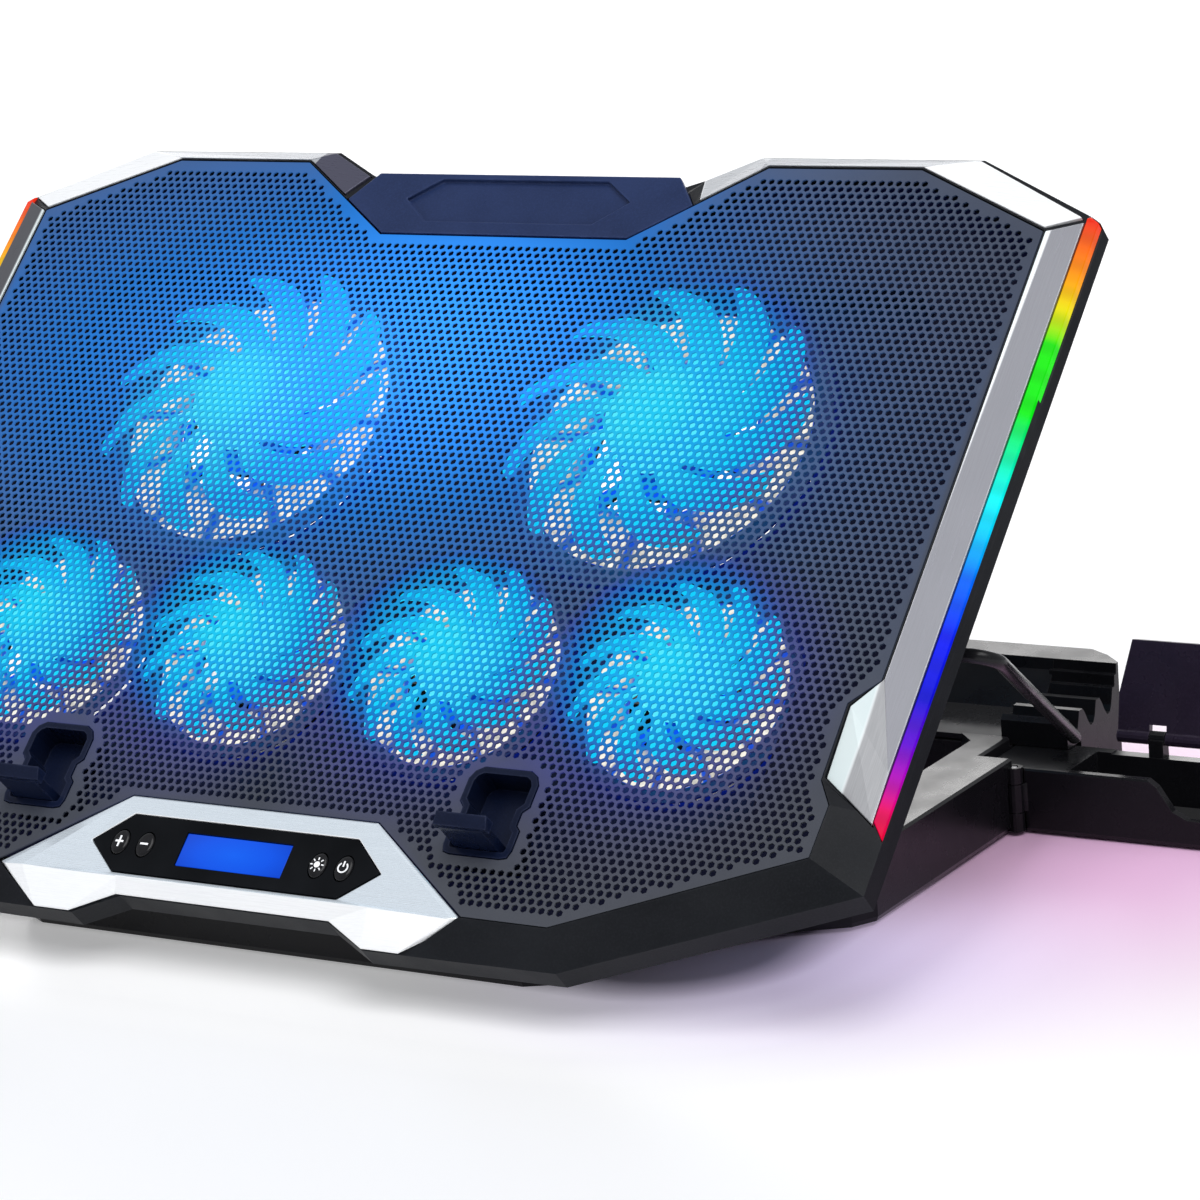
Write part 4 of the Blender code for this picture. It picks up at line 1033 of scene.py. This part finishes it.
def rod(points, r, bend, sides, steps):
    path = [Vector(points[0])]
    for a, b, c in zip(points, points[1:], points[2:]):
        d1, d2 = (a - b).normalized(), (c - b).normalized()
        half = d1.angle(d2) / 2
        reach = bend / math.tan(half)
        mid = b + (d1 + d2).normalized() * (bend / math.sin(half))
        v0, v1 = b + d1 * reach - mid, b + d2 * reach - mid
        axis = v0.cross(v1).normalized()
        for k in range(steps + 1):
            path.append(mid + Matrix.Rotation(v0.angle(v1) * k / steps, 3, axis) @ v0)
    path.append(Vector(points[-1]))
    rings, normal = [], None
    dirs = []
    for i, p in enumerate(path):
        before = (p - path[i - 1]).normalized() if i else None
        after = (path[i + 1] - p).normalized() if i + 1 < len(path) else None
        dirs.append(((before or after) + (after or before)).normalized())
    spots = [(path[0] + dirs[0] * 0.0, dirs[0], r * 0.78)] + [(path[0] + dirs[0] * 0.5, dirs[0], r)]
    spots += [(p, d, r) for p, d in zip(path[1:-1], dirs[1:-1])]
    spots += [(path[-1] - dirs[-1] * 0.5, dirs[-1], r), (path[-1], dirs[-1], r * 0.78)]
    for p, t, rad in spots:
        if normal is None:
            normal = t.cross(Vector((0, 0, 1))).normalized()
        normal = (normal - t * normal.dot(t)).normalized()
        other = t.cross(normal)
        rings.append([tuple(p + (normal * math.cos(2 * math.pi * k / sides) + other * math.sin(2 * math.pi * k / sides)) * rad)
                      for k in range(sides)])
    verts = [q for ring in rings for q in ring]
    faces = grid_faces(len(rings), sides, 0, True)
    faces += [tuple(range(sides))[::-1], tuple(range((len(rings) - 1) * sides, len(rings) * sides))]
    return verts, faces


v, f = rod(corners, 2.24, 7.0, 24, 14)
piece("bent_rod", v, f, "black_coated_steel", "strut", ["wire_strut"], smooth=50)

# ======================================================================================
# floor, light and camera
# ======================================================================================
fm = bpy.data.meshes.new("floor")
fm.from_pydata([(-12, -12, 0), (12, -12, 0), (12, 16, 0), (-12, 16, 0)], [], [(0, 1, 2, 3)])
fm.materials.append(M["floor"].m)
floor = bpy.data.objects.new("floor", fm)
bpy.context.scene.collection.objects.link(floor)

world = bpy.data.worlds.new("studio")
bpy.context.scene.world = world
world.use_nodes = True
bg = world.node_tree.nodes["Background"]
bg.inputs["Color"].default_value = (0.95, 0.965, 1.0, 1)
bg.inputs["Strength"].default_value = 0.50


def area(name, place, aim, size, power, colour=(1, 1, 1), size_y=None):
    data = bpy.data.lights.new(name, "AREA")
    data.energy = power
    data.color = colour
    data.shape = "RECTANGLE"
    data.size = size
    data.size_y = size_y or size
    obj = bpy.data.objects.new(name, data)
    bpy.context.scene.collection.objects.link(obj)
    obj.location = place
    obj.rotation_euler = (Vector(aim) - Vector(place)).to_track_quat("-Z", "Y").to_euler()
    return obj


sun_data = bpy.data.lights.new("overhead", "SUN")
sun_data.energy = 2.25
sun_data.angle = math.radians(50)
sun = bpy.data.objects.new("overhead", sun_data)
bpy.context.scene.collection.objects.link(sun)
sun.rotation_euler = Vector((0.34, -0.30, 0.89)).to_track_quat("Z", "Y").to_euler()
area("back_panel", (-1.62, 2.70, 0.86), (0.1, 0.1, 0.03), 2.5, 16, (1.0, 0.985, 0.97), 0.85)
# plain colour management, so white stays white and the lights keep their hue
bpy.context.scene.view_settings.view_transform = "Standard"

cam_data = bpy.data.cameras.new("camera")
cam = bpy.data.objects.new("camera", cam_data)
bpy.context.scene.collection.objects.link(cam)
az, el, roll = math.radians(32.397), math.radians(14.343), math.radians(-4.563)
fwd = Vector((-math.sin(az) * math.cos(el), math.cos(az) * math.cos(el), -math.sin(el)))
right = Vector((math.cos(az), math.sin(az), 0))
up = right.cross(fwd)
X = math.cos(roll) * right + math.sin(roll) * up
Y = -math.sin(roll) * right + math.cos(roll) * up
R = Matrix((X, Y, -fwd)).transposed()
cam.matrix_world = Matrix.Translation(Vector((733.5, -968.9, 410.6)) * MM) @ R.to_4x4()
cam_data.lens = 124.865
cam_data.sensor_width = 36
cam_data.sensor_fit = "HORIZONTAL"
cam_data.clip_start = 0.01
cam_data.clip_end = 100
bpy.context.scene.camera = cam
